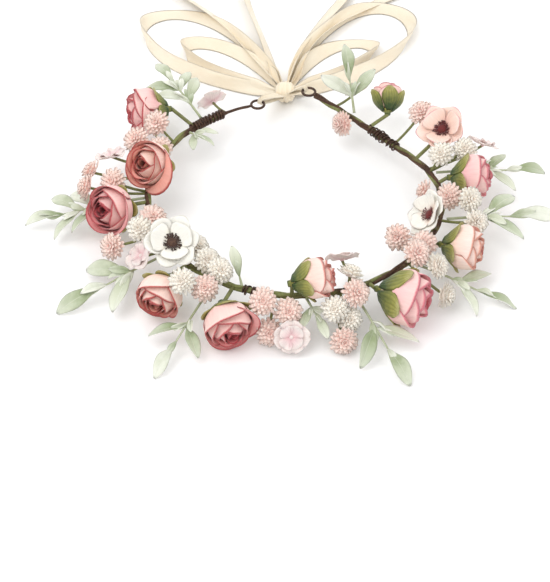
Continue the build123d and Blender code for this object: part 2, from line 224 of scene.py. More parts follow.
def run_along(path):
    """Distance run along a path at each of its points."""
    return np.concatenate([[0], np.cumsum(np.linalg.norm(np.diff(path, axis=0), axis=1))])


def tangents(path):
    """Unit vectors along a path."""
    slope = np.gradient(path, axis=0)
    return slope / np.linalg.norm(slope, axis=1, keepdims=True)


def quads(index):
    """Quads between the neighbours of a grid of vertex numbers."""
    return np.stack([index[:-1, :-1], index[:-1, 1:], index[1:, 1:], index[1:, :-1]], -1).reshape(-1, 4)


class Piece:
    """Gathers surfaces, each with its own finish, into one mesh."""

    def __init__(self):
        self.points, self.faces, self.maps, self.tints, self.unders = [], [], [], [], []
        self.slots, self.finishes = [], []
        self.count = 0

    def add(self, points, faces, uv, finish, tint=0.5, under=0.0):
        """Adds points, faces that number them from 0, and their map, with a finish. In a quad that closes a
        turned surface u runs on past 1 where it would fall back to 0."""
        if finish not in self.finishes:
            self.finishes.append(finish)
        self.points.append(points)
        corner_map = uv[np.concatenate([np.asarray(face, dtype=np.int64) for face in faces])]
        counts = np.array([len(face) for face in faces])
        corners = np.repeat(counts, counts)
        most = np.repeat(np.maximum.reduceat(corner_map[:, 0], np.cumsum(counts) - counts), counts)
        falls_back = (most > 0.7) & (corner_map[:, 0] < 0.2)
        corner_map[:, 0] += falls_back & (corners == 4) & (uv[:, 0].max() < 0.999)
        self.maps.append(corner_map)
        self.tints.append(np.broadcast_to(tint, len(points)))
        self.unders.append(np.broadcast_to(under, len(faces)))
        self.faces.extend([[corner + self.count for corner in face] for face in faces])
        self.slots.extend([self.finishes.index(finish)] * len(faces))
        self.count += len(points)

    def blades(self, centres, thickness, finish, tints=0.5):
        """Closed thin blades, one for each grid of centres (number, rows, columns, 3), kept above the floor.
        The front is the grid moved by half the thickness along its normal, which is the cross product of its
        two slopes, and the back is moved the other way. Both share the outline, so a blade is thin at its
        rim."""
        centres = centres.copy()
        centres[..., 2] = np.maximum(centres[..., 2], FLOOR_HEIGHT + thickness / 2)
        number, rows, columns, _ = centres.shape
        normal = np.cross(np.gradient(centres, axis=2), np.gradient(centres, axis=1))
        normal /= np.linalg.norm(normal, axis=3, keepdims=True) + 1e-15
        inside = np.zeros((rows, columns, 1))
        inside[1:-1, 1:-1] = thickness / 2
        front = (centres + normal * inside).reshape(number, -1, 3)
        back = (centres - normal * inside)[:, 1:-1, 1:-1].reshape(number, -1, 3)
        points = np.concatenate([front, back], axis=1)
        front_index = np.arange(rows * columns).reshape(rows, columns)
        back_index = front_index.copy()
        back_index[1:-1, 1:-1] = np.arange(rows * columns, points.shape[1]).reshape(rows - 2, columns - 2)
        faces = np.concatenate([quads(front_index), quads(back_index)[:, ::-1]])
        under = np.repeat([0.0, 1.0], (rows - 1) * (columns - 1))
        uv = np.stack(grid(rows, columns), -1)
        uv = np.concatenate([uv.reshape(-1, 2), uv[1:-1, 1:-1].reshape(-1, 2)])
        each_faces = faces[None] + (np.arange(number) * points.shape[1])[:, None, None]
        tints = np.repeat(np.broadcast_to(tints, number), points.shape[1])
        self.add(points.reshape(-1, 3), each_faces.reshape(-1, 4).tolist(), np.tile(uv, (number, 1)), finish,
                 tints, np.tile(under, number))

    def rings(self, points, rows, sides, down, finish, tint, backwards=False):
        """Closes rings of points, given row after row, into a wall with a flat cap at each end. down gives
        the map's v at each row, and backwards says that the rings turn the other way round."""
        index = np.arange(rows * sides).reshape(rows, sides)[:, ::-1 if backwards else 1]
        faces = quads(np.hstack([index, index[:, :1]])).tolist()
        faces += [index[0, ::-1].tolist(), index[-1].tolist()]
        u, v = np.meshgrid(np.arange(sides) / sides, down)
        self.add(points.reshape(-1, 3), faces, np.stack([u.ravel(), v.ravel()], -1), finish, tint)

    def tube(self, path, radii, sides, finish, tint=0.5):
        """A round tube along a path. Its frame at each point is the tangent and the two directions square to
        it, the first of them square to a fixed reference as well."""
        path = np.asarray(path, float)
        tangent = tangents(path)
        reference = np.eye(3)[np.abs(tangent).max(0).argmin()]
        across = np.cross(tangent, reference)
        across /= np.linalg.norm(across, axis=1, keepdims=True)
        upward = np.cross(across, tangent)
        turn = (np.arange(sides) / sides * TURN)[None, :, None]
        radii = np.broadcast_to(radii, (len(path), sides))[..., None]
        points = path[:, None] + radii * (np.cos(turn) * across[:, None] + np.sin(turn) * upward[:, None])
        run = run_along(path)
        self.rings(points, len(path), sides, run / max(run[-1], 1e-9), finish, tint, True)

    def turned(self, profile, place, origin, sides, finish, swell=None, tint=0.5):
        """A turned solid: the profile (radius, height) carried round the z of place. swell gives a factor on
        the radius at each turn and profile point."""
        turn = np.arange(sides) / sides * TURN
        profile = np.asarray(profile, float)
        radius = profile[:, :1] * (swell(turn[None], np.arange(len(profile))[:, None]) if swell else 1.0)
        points = fanned(radius, 0.0, profile[:, 1:], turn) @ place.T + origin
        self.rings(points, len(profile), sides, np.linspace(0, 1, len(profile)), finish, tint)

    def scale_map(self, factors):
        """Scales the map of the surface that was added last."""
        self.maps[-1] = self.maps[-1] * np.array(factors)

    def finish(self, name, slot, *nodes, rides=True):
        """Makes the object, with its map, tints and finishes. It stands for the nodes and rides on the first
        one's body, unless rides is false."""
        mesh = bpy.data.meshes.new(name)
        mesh.from_pydata(np.concatenate(self.points).tolist(), [], self.faces)
        uv = mesh.uv_layers.new(name="UVMap")
        uv.data.foreach_set("uv", np.concatenate(self.maps).astype(np.float32).ravel())
        for kept, values, domain in (("tint", self.tints, "POINT"), ("under", self.unders, "FACE")):
            attribute = mesh.attributes.new(kept, "FLOAT", domain)
            attribute.data.foreach_set("value", np.concatenate(values).astype(np.float32))
        for finish in self.finishes:
            mesh.materials.append(finish)
        mesh.polygons.foreach_set("material_index", np.array(self.slots, dtype=np.int32))
        mesh.polygons.foreach_set("use_smooth", np.ones(len(mesh.polygons), dtype=bool))
        mesh.update()
        made = bpy.data.objects.new(name, mesh)
        bpy.context.scene.collection.objects.link(made)
        if nodes:
            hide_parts(*nodes)
            if rides:
                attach(made, body_of(nodes[0]))
        return made


# ---- finishes ----------------------------------------------------------------------------------------
class Value:
    """A value that a material works out at each point. Sums and products of values add Math nodes."""

    def __init__(self, finish, socket):
        self.finish, self.socket = finish, socket

    def __add__(self, other):
        return self.finish.calc("ADD", self, other)

    def __sub__(self, other):
        return self.finish.calc("SUBTRACT", self, other)

    def __mul__(self, other):
        return self.finish.calc("MULTIPLY", self, other)

    def size(self):
        """The value without its sign."""
        return self.finish.calc("ABSOLUTE", self)

    def wave(self):
        """The value's sine."""
        return self.finish.calc("SINE", self)

    def wander(self, other, amount):
        """The value moved by a noise or tint that lies about a half."""
        return self + (other - 0.5) * amount


class Finish:
    """A procedural material: a Principled shader, and short calls that put nodes before it."""

    def __init__(self, name, **sockets):
        self.material = bpy.data.materials.new(name)
        self.material.use_nodes = True
        self.tree = self.material.node_tree
        self.shader = self.tree.nodes["Principled BSDF"]
        self.put(self.shader.inputs["Subsurface Radius"], (1.0, 0.9, 0.8))
        for key, value in sockets.items():
            self.put(self.shader.inputs[key.replace("_", " ")], value)

    def put(self, socket, value):
        """Links a value to a socket, or sets the socket to a number or colour."""
        if isinstance(value, Value):
            self.tree.links.new(value.socket, socket)
        else:
            socket.default_value = value

    def node(self, kind, inputs=(), output=0, **settings):
        """Adds a node, sets or links its inputs, and returns one of its outputs."""
        made = self.tree.nodes.new(kind)
        for key, value in settings.items():
            setattr(made, key, value)
        for key, value in dict(inputs).items():
            self.put(made.inputs[key], value)
        return Value(self, made.outputs[output])

    def calc(self, operation, first, second=0.0):
        """A sum, product or other calculation."""
        return self.node("ShaderNodeMath", {0: first, 1: second}, operation=operation)

    def attribute(self, name):
        """A number kept on the mesh."""
        return self.node("ShaderNodeAttribute", output="Fac", attribute_name=name)

    def map(self):
        """The piece's own map as u and v."""
        where = self.node("ShaderNodeUVMap", uv_map="UVMap")
        return [self.node("ShaderNodeSeparateXYZ", {0: where}, output) for output in ("X", "Y")]

    def vector(self, x, y, z=0.0):
        """Three values as a vector."""
        return self.node("ShaderNodeCombineXYZ", {0: x, 1: y, 2: z})

    def noise(self, scale, detail=3.0, roughness=0.5, where=None):
        """Soft noise from 0 to 1, on the object's coordinates in metres unless another place is given."""
        where = where or self.node("ShaderNodeTexCoord", output="Object")
        inputs = {"Vector": where, "Scale": scale, "Detail": detail, "Roughness": roughness}
        return self.node("ShaderNodeTexNoise", inputs)

    def ramp(self, factor, *stops):
        """Colours that follow a factor; each stop is a place and a colour."""
        made = self.tree.nodes.new("ShaderNodeValToRGB")
        elements = made.color_ramp.elements
        while len(elements) < len(stops):
            elements.new(0.5)
        for element, (position, colour) in zip(elements, stops):
            element.position = position
            element.color = (*colour[:3], 1)
        self.put(made.inputs[0], factor)
        return Value(self, made.outputs[0])

    def fade(self, factor, start, end, low=0.0, high=1.0):
        """A grey that goes from low to high as the factor goes from start to end."""
        return self.ramp(factor, (start, (low,) * 3), (end, (high,) * 3))

    def blend(self, factor, first, second, kind="MIX"):
        """Mixes two colours by a factor."""
        made = self.tree.nodes.new("ShaderNodeMix")
        made.data_type, made.blend_type = "RGBA", kind
        self.put(made.inputs[0], factor)
        for socket, value in ((made.inputs[6], first), (made.inputs[7], second)):
            self.put(socket, value if isinstance(value, Value) else (*value[:3], 1))
        return Value(self, made.outputs[2])

    def shaded(self, colour, grey):
        """A colour times a grey."""
        return self.blend(1.0, colour, grey, "MULTIPLY")

    def done(self, colour, height, distance, strength, roughness=None):
        """Gives the shader its colour, raises the surface by a height times a distance in metres, and
        returns the material."""
        self.put(self.shader.inputs["Base Color"], colour)
        if roughness:
            self.put(self.shader.inputs["Roughness"], roughness)
        if height:
            inputs = {"Height": height, "Distance": distance, "Strength": strength}
            self.put(self.shader.inputs["Normal"], self.node("ShaderNodeBump", inputs))
        return self.material


def mixed(first, second, share):
    """A colour between two others."""
    return tuple(a + (b - a) * share for a, b in zip(first[:3], second[:3]))


def off_middle(u):
    """How far across a map a point is from its middle, 0 to 1."""
    return (u * 2.0 - 1.0).size()


def silk(name, foot, body, tip, rim, rim_start, streak, soft=0.12, inner=None):
    """Dyed petal cloth: the colour runs from the foot to the tip of each petal with fine streaks along it,
    the cut edge is darker where the dye gathered, and a fine weave shows in the bump. The inner faces may
    have a deeper colour."""
    made = Finish(name, Roughness=0.62, Sheen_Weight=0.25, Sheen_Roughness=0.45, Subsurface_Weight=soft,
                  Subsurface_Scale=0.002, Specular_IOR_Level=0.3)
    u, v = made.map()
    tint = made.attribute("tint")
    lines = made.noise(1.0, 3.0, 0.6, made.vector(u * 34.0, v * 2.2, tint))
    along = v.wander(made.noise(130.0), 0.28).wander(tint, 0.22)
    base = made.ramp(along, (0.05, foot), (0.42, body), (0.86, tip))
    if inner:
        inside = made.ramp(along, (0.3, inner), (0.95, mixed(inner, tip, 0.45)))
        base = made.blend(made.attribute("under"), base, inside)
    base = made.shaded(base, made.fade(lines, 0.3, 0.7, 1 - streak * 0.4))
    edge = made.calc("MAXIMUM", v, off_middle(u) * (v * 0.16 + 0.86)).wander(lines, 0.05)
    reach = made.fade(edge, rim_start, min(rim_start + 0.045, 0.995))
    weave = (u * 320.0).wave() * (v * 320.0).wave()
    return made.done(made.blend(reach, base, rim), weave * 0.12 + lines * 0.8, 0.00022, 0.7)


def foliage(name, dark, light, underside):
    """Flocked leaf cloth: soft mottled greens, paler towards the tip, a pressed midrib, and a paler
    underside."""
    made = Finish(name, Roughness=0.7, Sheen_Weight=0.35, Sheen_Roughness=0.5, Subsurface_Weight=0.06,
                  Subsurface_Scale=0.002, Specular_IOR_Level=0.3)
    u, v = made.map()
    mottle = made.noise(240.0, 4.0, 0.6)
    base = made.ramp((mottle * 0.9).wander(made.attribute("tint"), 0.8), (0.3, dark), (0.75, light))
    midrib = made.fade(off_middle(u), 0.0, 0.07, 0.55, 0.0)
    face = made.blend(midrib, base, mixed(light, (0.85, 0.88, 0.72), 0.5))
    face = made.shaded(face, made.fade(v, 0.0, 1.0, 0.85, 1.12))
    face = made.blend(made.fade(v, 0.35, 1.0, 0.0, 0.6), face, mixed(underside, light, 0.2))
    back = made.blend(midrib, underside, mixed(underside, dark, 0.25))
    height = made.noise(2600.0, 2.0) * 0.35 - midrib * 1.2
    return made.done(made.blend(made.attribute("under"), face, back), height, 0.00025, 0.8)


def calyx_green(name, dark, light):
    """Moulded sepals: deep green at the foot running to olive at the tips, with faint lengthwise ribs whose
    troughs are darkened with painted shade.
    """
    made = Finish(name, Roughness=0.5, Specular_IOR_Level=0.4, Subsurface_Weight=0.05, Subsurface_Scale=0.001)
    u, v = made.map()
    mottle = made.noise(320.0, 4.0, 0.6)
    ribs = (u * 44.0).wave()
    dry = mixed(light, (0.62, 0.55, 0.3), 0.5)
    base = made.ramp(v.wander(mottle, 0.7), (0.12, dark), (0.75, light), (0.98, dry))
    # Painted shade: the colour darkens in the troughs between the ribs, following the same wave as their
    # bump.
    shade = made.fade(ribs * 0.5 + 0.5, 0.0, 0.6, 0.78)
    return made.done(made.shaded(base, shade), ribs * 0.4 + mottle, 0.0003, 0.6)


def curl_paper(name, deep, pale):
    """Petals of thin shaved wood paper: deeper at the foot, paler and a little ragged in colour at the tip,
    with a fine lengthwise grain."""
    made = Finish(name, Roughness=0.72, Sheen_Weight=0.15, Subsurface_Weight=0.05, Subsurface_Scale=0.001,
                  Specular_IOR_Level=0.25)
    u, v = made.map()
    tint = made.attribute("tint")
    grain = made.noise(1.5, 2.0, where=made.vector(u * 9.0, v, tint * 50.0))
    base = made.ramp(v.wander(tint, 0.35), (0.1, deep), (0.6, mixed(deep, pale, 0.7)), (1.0, pale))
    return made.done(made.shaded(base, made.fade(grain, 0.3, 0.6, 0.94)), grain, 0.0001, 0.4)


def satin(name, colour):
    """Ribbon satin: long floats along the ribbon, fine cross threads, a woven selvedge and slight unevenness
    of shine. Darker, browner streaks and soft clouds in its colour are painted shade for the satin's changing
    sheen and folds. The map's u runs across one ribbon width and v counts widths along it."""
    made = Finish(name, Sheen_Weight=0.25, Sheen_Roughness=0.35, Subsurface_Weight=0.1,
                  Subsurface_Scale=0.003, Specular_IOR_Level=0.5, Anisotropic=0.5)
    u, v = made.map()
    selvedge = made.fade(off_middle(u), 0.86, 0.9)
    threads = made.noise(1.0, 2.0, where=made.vector(u * 90.0, v * 3.0))
    cross = (v * 230.0).wave()
    # Painted shade: the browner tone that the thread streaks and soft clouds take on stands in for the
    # satin's uneven sheen and soft folds.
    painted_satin_shade = mixed(colour, (0.70, 0.52, 0.30), 0.35)
    base = made.ramp(threads * 0.6 + made.noise(45.0, 2.0) * 0.4, (0.3, painted_satin_shade), (0.62, colour))
    base = made.blend(selvedge, base, mixed(colour, (0.8, 0.66, 0.45), 0.22))
    shine = made.node("ShaderNodeMapRange", {0: threads, 1: 0.3, 2: 0.7, 3: 0.28, 4: 0.46})
    height = selvedge * (cross * 0.5 + 0.8) + threads * 0.35 + cross * 0.08
    return made.done(base, height, 0.00014, 0.8, shine)


def twig_paper(name, dark, light, green):
    """Stems under crepe paper tape: brown where the tint is low and olive where it is high, wrinkled, and
    worn lighter in patches."""
    made = Finish(name, Roughness=0.75, Specular_IOR_Level=0.3)
    wrinkle, patch = made.noise(900.0, 5.0, 0.65), made.noise(120.0)
    mix = wrinkle * 0.6 + patch * 0.4
    brown = made.ramp(mix, (0.36, dark), (0.56, mixed(dark, light, 0.5)), (0.7, light))
    olive = made.ramp(mix, (0.34, mixed(green, dark, 0.6)), (0.6, green), (0.74, mixed(green, light, 0.3)))
    share = made.fade(made.attribute("tint").wander(patch, 0.9), 0.3, 0.6)
    return made.done(made.blend(share, brown, olive), wrinkle, 0.0003, 0.8)


def mottled(name, dark, light, sockets, noise, bands, distance, strength, skin=None):
    """A mottled finish: a noise, given as scale, detail and roughness, takes the colour from dark to light
    between two bands, and the same noise or a finer skin raises the surface."""
    made = Finish(name, **sockets)
    speck = made.noise(*noise)
    colour = made.ramp(speck, (bands[0], dark), (bands[1], light))
    return made.done(colour, made.noise(*skin) if skin else speck, distance, strength)


def flock(name, dark, light):
    """Short coloured flock, mottled."""
    sockets = {"Roughness": 0.85, "Sheen_Weight": 0.4, "Sheen_Roughness": 0.4}
    return mottled(name, dark, light, sockets, (1500.0, 3.0, 0.6), (0.35, 0.7), 0.0003, 0.9)


def lacquer(name, roughness, metallic):
    """Lacquered wire: dark, with worn brighter flecks and a fine drawn grain."""
    sockets = {"Roughness": roughness, "Metallic": metallic, "Specular_IOR_Level": 0.5}
    dark, light = colours().bark, colours().bark_light
    return mottled(name, dark, light, sockets, (1400.0, 4.0, 0.6), (0.45, 0.72), 0.00012, 0.6)


def stem_green(name, dark, light):
    """Moulded stem: olive with darker and browner stretches and a fine rough skin."""
    sockets = {"Roughness": 0.55, "Specular_IOR_Level": 0.35}
    return mottled(name, dark, light, sockets, (160.0, 4.0, 0.6), (0.35, 0.65), 0.0002, 0.7, (1800.0, 2.0))


def backdrop(name, colour):
    """Matt paper of the stage, with the faintest grain."""
    made = Finish(name, Roughness=0.9, Specular_IOR_Level=0.1)
    grain = made.noise(400.0, 2.0)
    return made.done(made.ramp(grain, (0.2, mixed(colour, (0, 0, 0), 0.01)), (0.8, colour)), None, 0.0, 0.0)


# ---- sizes and colours -------------------------------------------------------------------------------
def length(name, description, default):
    """A size that a user may change."""
    return bpy.props.FloatProperty(name=name, description=description, default=default, unit="LENGTH",
                                   min=1e-5)


def shade(name, description, default):
    """A colour that a user may change."""
    return bpy.props.FloatVectorProperty(name=name, description=description, default=default, subtype="COLOR",
                                         min=0.0, max=1.0)


class CrownSizes(bpy.types.PropertyGroup):
    """Sizes of the crown's pieces."""
    hoop_radius: length("Hoop radius", "Radius of the hoop's centreline", 0.085)
    wrap_radius: length("Wrap radius", "Radius of the paper-wrapped hoop", 0.002)
    twist_pitch: length("Twist pitch", "Length in which the hoop's strands turn once", 0.045)
    bare_end: length("Bare end", "Length of thin bare wire at the left end", 0.019)
    wire_radius: length("Wire radius", "Radius of the thin binding wire", 0.00042)
    petal_thickness: length("Petal thickness", "Thickness of the petal cloth", 0.0004)
    leaf_thickness: length("Leaf thickness", "Thickness of the leaf cloth", 0.0006)
    ribbon_width: length("Ribbon width", "Width of the satin ribbon", 0.01)
    ribbon_thickness: length("Ribbon thickness", "Thickness of the satin ribbon", 0.0003)
    pompom_radius: length("Pompom radius", "Radius of the smaller pompoms", 0.0070)
    pompom_depth: length("Pompom depth", "Depth of a pompom's dome", 0.006)
    thin_stem: length("Thin stem radius", "Radius of the stems of leaves and small flowers", 0.0008)


class CrownColours(bpy.types.PropertyGroup):
    """Colours of the crown's finishes."""
    peach: shade("Peach", "Petals of the peach roses", (0.96, 0.56, 0.38))
    pink: shade("Pink", "Petals of the pink roses", (0.88, 0.30, 0.37))
    pale: shade("Pale tip", "Outer part of the rose petals", (0.98, 0.76, 0.68))
    coral: shade("Coral", "Inner faces of the peach roses", (0.86, 0.20, 0.10))
    rim: shade("Rim", "Dyed rim of the rose petals", (0.42, 0.020, 0.028))
    foot: shade("Petal foot", "Greenish cream foot of the petals", (0.78, 0.68, 0.40))
    blush: shade("Blush", "Pink pompoms", (1.0, 0.76, 0.68))
    cream: shade("Cream", "White pompoms and petals", (1.0, 0.96, 0.87))
    white: shade("White", "White petals", (0.90, 0.88, 0.81))
    mauve: shade("Mauve", "Florets", (0.93, 0.72, 0.70))
    sage: shade("Sage", "Leaves", (0.50, 0.54, 0.39))
    sage_dark: shade("Dark sage", "Darker parts of the leaves", (0.30, 0.36, 0.20))
    velvet: shade("Velvet", "Underside of the leaves", (0.80, 0.81, 0.74))
    sepal: shade("Sepal", "Tips of the sepals", (0.31, 0.30, 0.07))
    sepal_dark: shade("Dark sepal", "Foot of the sepals", (0.045, 0.085, 0.025))
    olive: shade("Olive", "Stems", (0.22, 0.24, 0.085))
    bark: shade("Bark", "Paper wrap and wire", (0.035, 0.016, 0.010))
    bark_light: shade("Light bark", "Worn parts of the wrap and wire", (0.15, 0.078, 0.045))
    stamen: shade("Stamen", "Centres of the open flowers", (0.040, 0.016, 0.012))
    ribbon: shade("Ribbon", "Satin ribbon", (0.87, 0.78, 0.62))
    floor: shade("Floor", "Floor of the stage", (0.93, 0.93, 0.93))


# How pink a rose is, how dark its heart is, how far its petals flare, how far up its sepals reach, and how
# strongly its rims are dyed
ROSE_LOOKS = {
    "rose_1": (0.90, 0.9, 1.0, 0.42, 0.9), "rose_2": (0.10, 0.6, 1.7, 0.34, 0.9),
    "rose_3": (0.85, 1.0, 1.0, 0.36, 0.8), "rose_4": (0.15, 0.5, 0.9, 0.40, 0.9),
    "rose_5": (0.70, 0.9, 1.2, 0.45, 0.8), "rose_6": (0.30, 0.4, 0.8, 0.55, 0.6),
    "rose_7": (1.0, 0.5, 0.35, 0.62, 0.45), "rose_8": (0.95, 0.5, 0.5, 0.55, 0.5),
    "rose_9": (0.05, 0.3, 0.4, 0.48, 0.5), "rose_10": (0.8, 0.6, 0.6, 0.75, 0.6),
}
# Petals in a layer of a rose, scale of its radius, heights of its foot and rim as shares of the length, half
# arc in degrees, and the share by which its rim closes in
ROSE_LAYERS = (
    (3, 1.05, 0.10, 0.84, 76, 0.05), (3, 0.94, 0.14, 0.93, 74, 0.22), (3, 0.84, 0.20, 0.975, 72, 0.38),
    (3, 0.70, 0.34, 0.99, 72, 0.46), (2, 0.50, 0.42, 0.98, 92, 0.44), (2, 0.28, 0.46, 0.93, 100, 0.36),
)
# Points that pull each loop and tail, x and y from the knot in metres: out and back for a loop
LOOPS = {
    "left": (((-0.166, 0.034), (-0.074, 0.176)), ((-0.110, 0.034), (-0.058, 0.100))),
    "right": (((0.150, 0.044), (0.052, 0.190)), ((0.100, 0.044), (0.040, 0.100))),
}
TAILS = {
    "left": (((-0.013, 0.044), (-0.034, 0.096), (-0.072, 0.108), (-0.096, 0.148)),
             ((-0.006, 0.040), (-0.016, 0.084), (-0.034, 0.112), (-0.026, 0.156))),
    "right": (((0.005, 0.040), (0.026, 0.092), (0.056, 0.112), (0.098, 0.142)),
              ((0.0, 0.040), (0.014, 0.084), (0.038, 0.112), (0.050, 0.150))),
}


def sizes():
    """The crown's sizes."""
    return bpy.context.scene.crown_sizes


def colours():
    """The crown's colours."""
    return bpy.context.scene.crown_colours


# ---- hoop --------------------------------------------------------------------------------------------
def hoop_path():
    """The hoop's centreline from the left end round the front to the right end: one circle, then a tighter
    arc and a nearly straight one that share their tangents. Each starts where the last one ends, with its
    centre on the line through that end and the last centre."""
    radius, tight, straight = sizes().hoop_radius, 0.055, 1.2
    centre, before, path = np.zeros(2), radius, []
    arcs = ((radius, 110, 349, 430), (tight, 349, 402, 64), (straight, 402, 406, 96))
    for radius_, first, last, count in arcs:
        angle = np.radians(np.linspace(first, last, count))
        outwards = np.array([math.cos(angle[0]), math.sin(angle[0])])
        centre = centre + outwards * (before - radius_)
        arc = stack(centre[0] + radius_ * np.cos(angle), centre[1] + radius_ * np.sin(angle), 0.0)
        path.append(arc[1:] if path else arc)
        before = radius_
    return np.concatenate(path)


def outward(path):
    """Unit vectors level with the hoop and square to its path, away from its middle."""
    side = np.cross(tangents(path), UP)
    side /= np.linalg.norm(side, axis=1, keepdims=True)
    return side * np.sign((side * path).sum(1).mean())


def recoat(node, material):
    """Gives a CAD node a new material and leaves its mesh as it is."""
    slots = frame["nodes"][node].data.materials
    slots.clear()
    slots.append(material)


class CROWN_OT_hoop(bpy.types.Operator):
    """Makes the hoop: three strands twisted round its centreline, each a tube along the centreline plus an
    offset at the strand's turn, which grows with the distance run. They close in to thin wire at the left
    end. The core wires get their lacquer"""
    bl_idname = "crown.hoop"
    bl_label = "Hoop"

    def execute(self, context):
        path, size, tone = hoop_path(), sizes(), colours()
        out, run = outward(path), run_along(path)
        bare = 1 - rise(run, size.bare_end * 0.7, size.bare_end)
        greener = 0.6 * np.exp(-((run - 0.212) / 0.035) ** 2)
        tape = twig_paper("stem_and_tape", tone.bark, tone.bark_light, tone.olive)
        piece, sides = Piece(), 11
        for strand, green in enumerate((0.55, 0.3, 0.1)):
            phase = TURN * (run / size.twist_pitch + strand / 3)[:, None]
            reach = (size.wrap_radius * 0.47 * (1 - 0.55 * bare))[:, None]
            points = path + out * reach * np.cos(phase) + reach * np.sin(phase) * UP
            uneven = 1 + 0.05 * np.sin(run * (520 + 90 * strand))
            radii = size.wrap_radius * 0.53 * (1 - 0.5 * bare) * uneven
            mix = np.clip(green + greener - bare, 0, 1)
            piece.tube(points, radii[:, None], sides, tape, np.repeat(mix, sides))
        wrap = piece.finish("hoop_wrap", "paper_wrap", "paper_wrap_left", "paper_wrap_right", rides=False)
        side = 0.005
        start, end = (PIVOT[0] + side, PIVOT[1], 0), (PIVOT[0] - side, PIVOT[1], 0)
        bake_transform(wrap)
        dark = lacquer("core_lacquer", 0.4, 0.4)
        for node in ("core_wire_left", "core_wire_right"):
            recoat(node, dark)
        return {"FINISHED"}


# Turns of a binding wire, how loosely they sit, its strands, and its thickness as a share of the wire's with
# what each later strand loses of it
BINDINGS = {
    "binding_wire_left": (11, 0.1, 1, 2.0, 0.0),
    "binding_wire_front": (4, 0.2, 1, 1.3, 0.0),
    "binding_wire_right": (9, 0.5, 2, 1.3, 0.35),
}


class CROWN_OT_binding(bpy.types.Operator):
    """Makes the binding wires: each is a helix round the hoop, a point at the hoop plus the wire's reach
    times the cosine of its turn outwards and the sine upwards, with a reach that wanders so that turns sit
    loosely"""
    bl_idname = "crown.binding"
    bl_label = "Binding wire"

    def execute(self, context):
        size, path = sizes(), hoop_path()
        wire = lacquer("wire_lacquer", 0.38, 0.5)
        margin, steps = 0.001, 16
        both = np.hstack([path, outward(path)])
        for node, (turns, loose, strands, thick, less) in BINDINGS.items():
            low, high = box_of(node)
            held = both[((path > low - margin) & (path < high + margin))[:, :2].all(1)]
            piece = Piece()
            for strand in range(strands):
                t = np.linspace(0.12 * strand, 1 - 0.3 * strand, turns * steps)
                phase = turns * (1 - 0.45 * strand) * t + 0.35 * np.sin(9 * t + strand) + 0.37 * strand
                phase = (TURN * phase)[:, None]
                where, order = t * (len(held) - 1), np.arange(len(held))
                spots = np.stack([np.interp(where, order, row) for row in held.T], -1)
                slack = 0.5 + 0.5 * np.sin(phase * 0.31 + 2 * strand)
                reach = size.wrap_radius + size.wire_radius * (0.8 + strand * 1.5)
                reach = reach + loose * 0.0012 * slack ** 5
                points = spots[:, :3] + spots[:, 3:] * reach * np.cos(phase) + reach * np.sin(phase) * UP
                piece.tube(points, size.wire_radius * (thick - less * strand), 8, wire)
            piece.finish(node + "_helix", "binding_wire", node)
        return {"FINISHED"}


class CROWN_OT_stems(bpy.types.Operator):
    """Gives the flower stems their moulded green skin"""
    bl_idname = "crown.stems"
    bl_label = "Flower stems"

    def execute(self, context):
        tone = colours()
        green = stem_green("flower_stem_green", mixed(tone.olive, tone.bark, 0.5), tone.olive)
        for node in ("flower_stems_left", "flower_stems_right"):
            recoat(node, green)
        return {"FINISHED"}


# ---- roses -------------------------------------------------------------------------------------------
def bud_profile(height, radius, length_):
    """Radius of a rose at a height: a quarter sine from the foot to the waist, then slowly inwards."""
    below = np.clip((height / length_ - 0.12) / 0.38, 0, 1)
    above = np.clip((height / length_ - 0.5) / 0.5, 0, 1.1)
    return radius * (0.4 + 0.6 * np.sin(below * math.pi / 2)) * (1 - 0.14 * above ** 2)


def rose_petals(piece, place, origin, radius, length_, flaring, finishes, random):
    """Layers of petals on the bud's profile. Across a petal the turn runs over its arc, and the radius
    changes a little so that each petal laps the next. Up a petal the height runs from foot to rim, lower at
    its corners, and the rim rolls outwards by the flare, most on one loose outer petal."""
    u, v = grid(14, 17)
    side = 2 * u - 1
    for layer, (count, scale, foot, rim, arc, closing) in enumerate(ROSE_LAYERS):
        number = np.arange(count)
        start = each(number / count * TURN + layer * 1.15 + random.uniform(-0.15, 0.15, count))
        phase = each(random.uniform(0, TURN, count))
        reach = np.radians(arc) * (0.55 + 0.45 * np.sin(math.pi / 2 * np.clip(v / 0.6, 0, 1)))
        tall = rim - foot + each(random.uniform(-0.04, 0.01, count))
        corner = 1 - 0.40 * np.abs(side) ** 2.7 + 0.015 * v * np.sin(3 * side + phase)
        height = length_ * (foot + tall * v * corner)
        closed = 1 - closing * rise(height / length_, 0.55, 1.0)
        around = bud_profile(height, radius, length_) * scale * closed
        lap = 0.025 * radius * side * (1 if layer % 2 else -1)
        loose = each((number == 0) * (layer < 1)) * max(flaring - 0.6, 0) * 1.1
        flare = (0.12 * flaring * (layer < 3) + 0.03 + 0.30 * loose) * radius
        flare = flare * (1 + 0.4 * np.sin(1.6 * side + phase))
        roll = rise(v, 0.68, 1.02) ** 1.3 * (1 - 0.92 * side ** 2)
        height = height - 0.4 * flare * roll * (1 + 0.5 * side ** 2)
        local = fanned(around + lap + flare * roll, 0.0, height, start + side * reach)
        tints = random.uniform(0.2, 0.8, count)
        piece.blades(local @ place.T + origin, sizes().petal_thickness, finishes[layer // 2], tints)


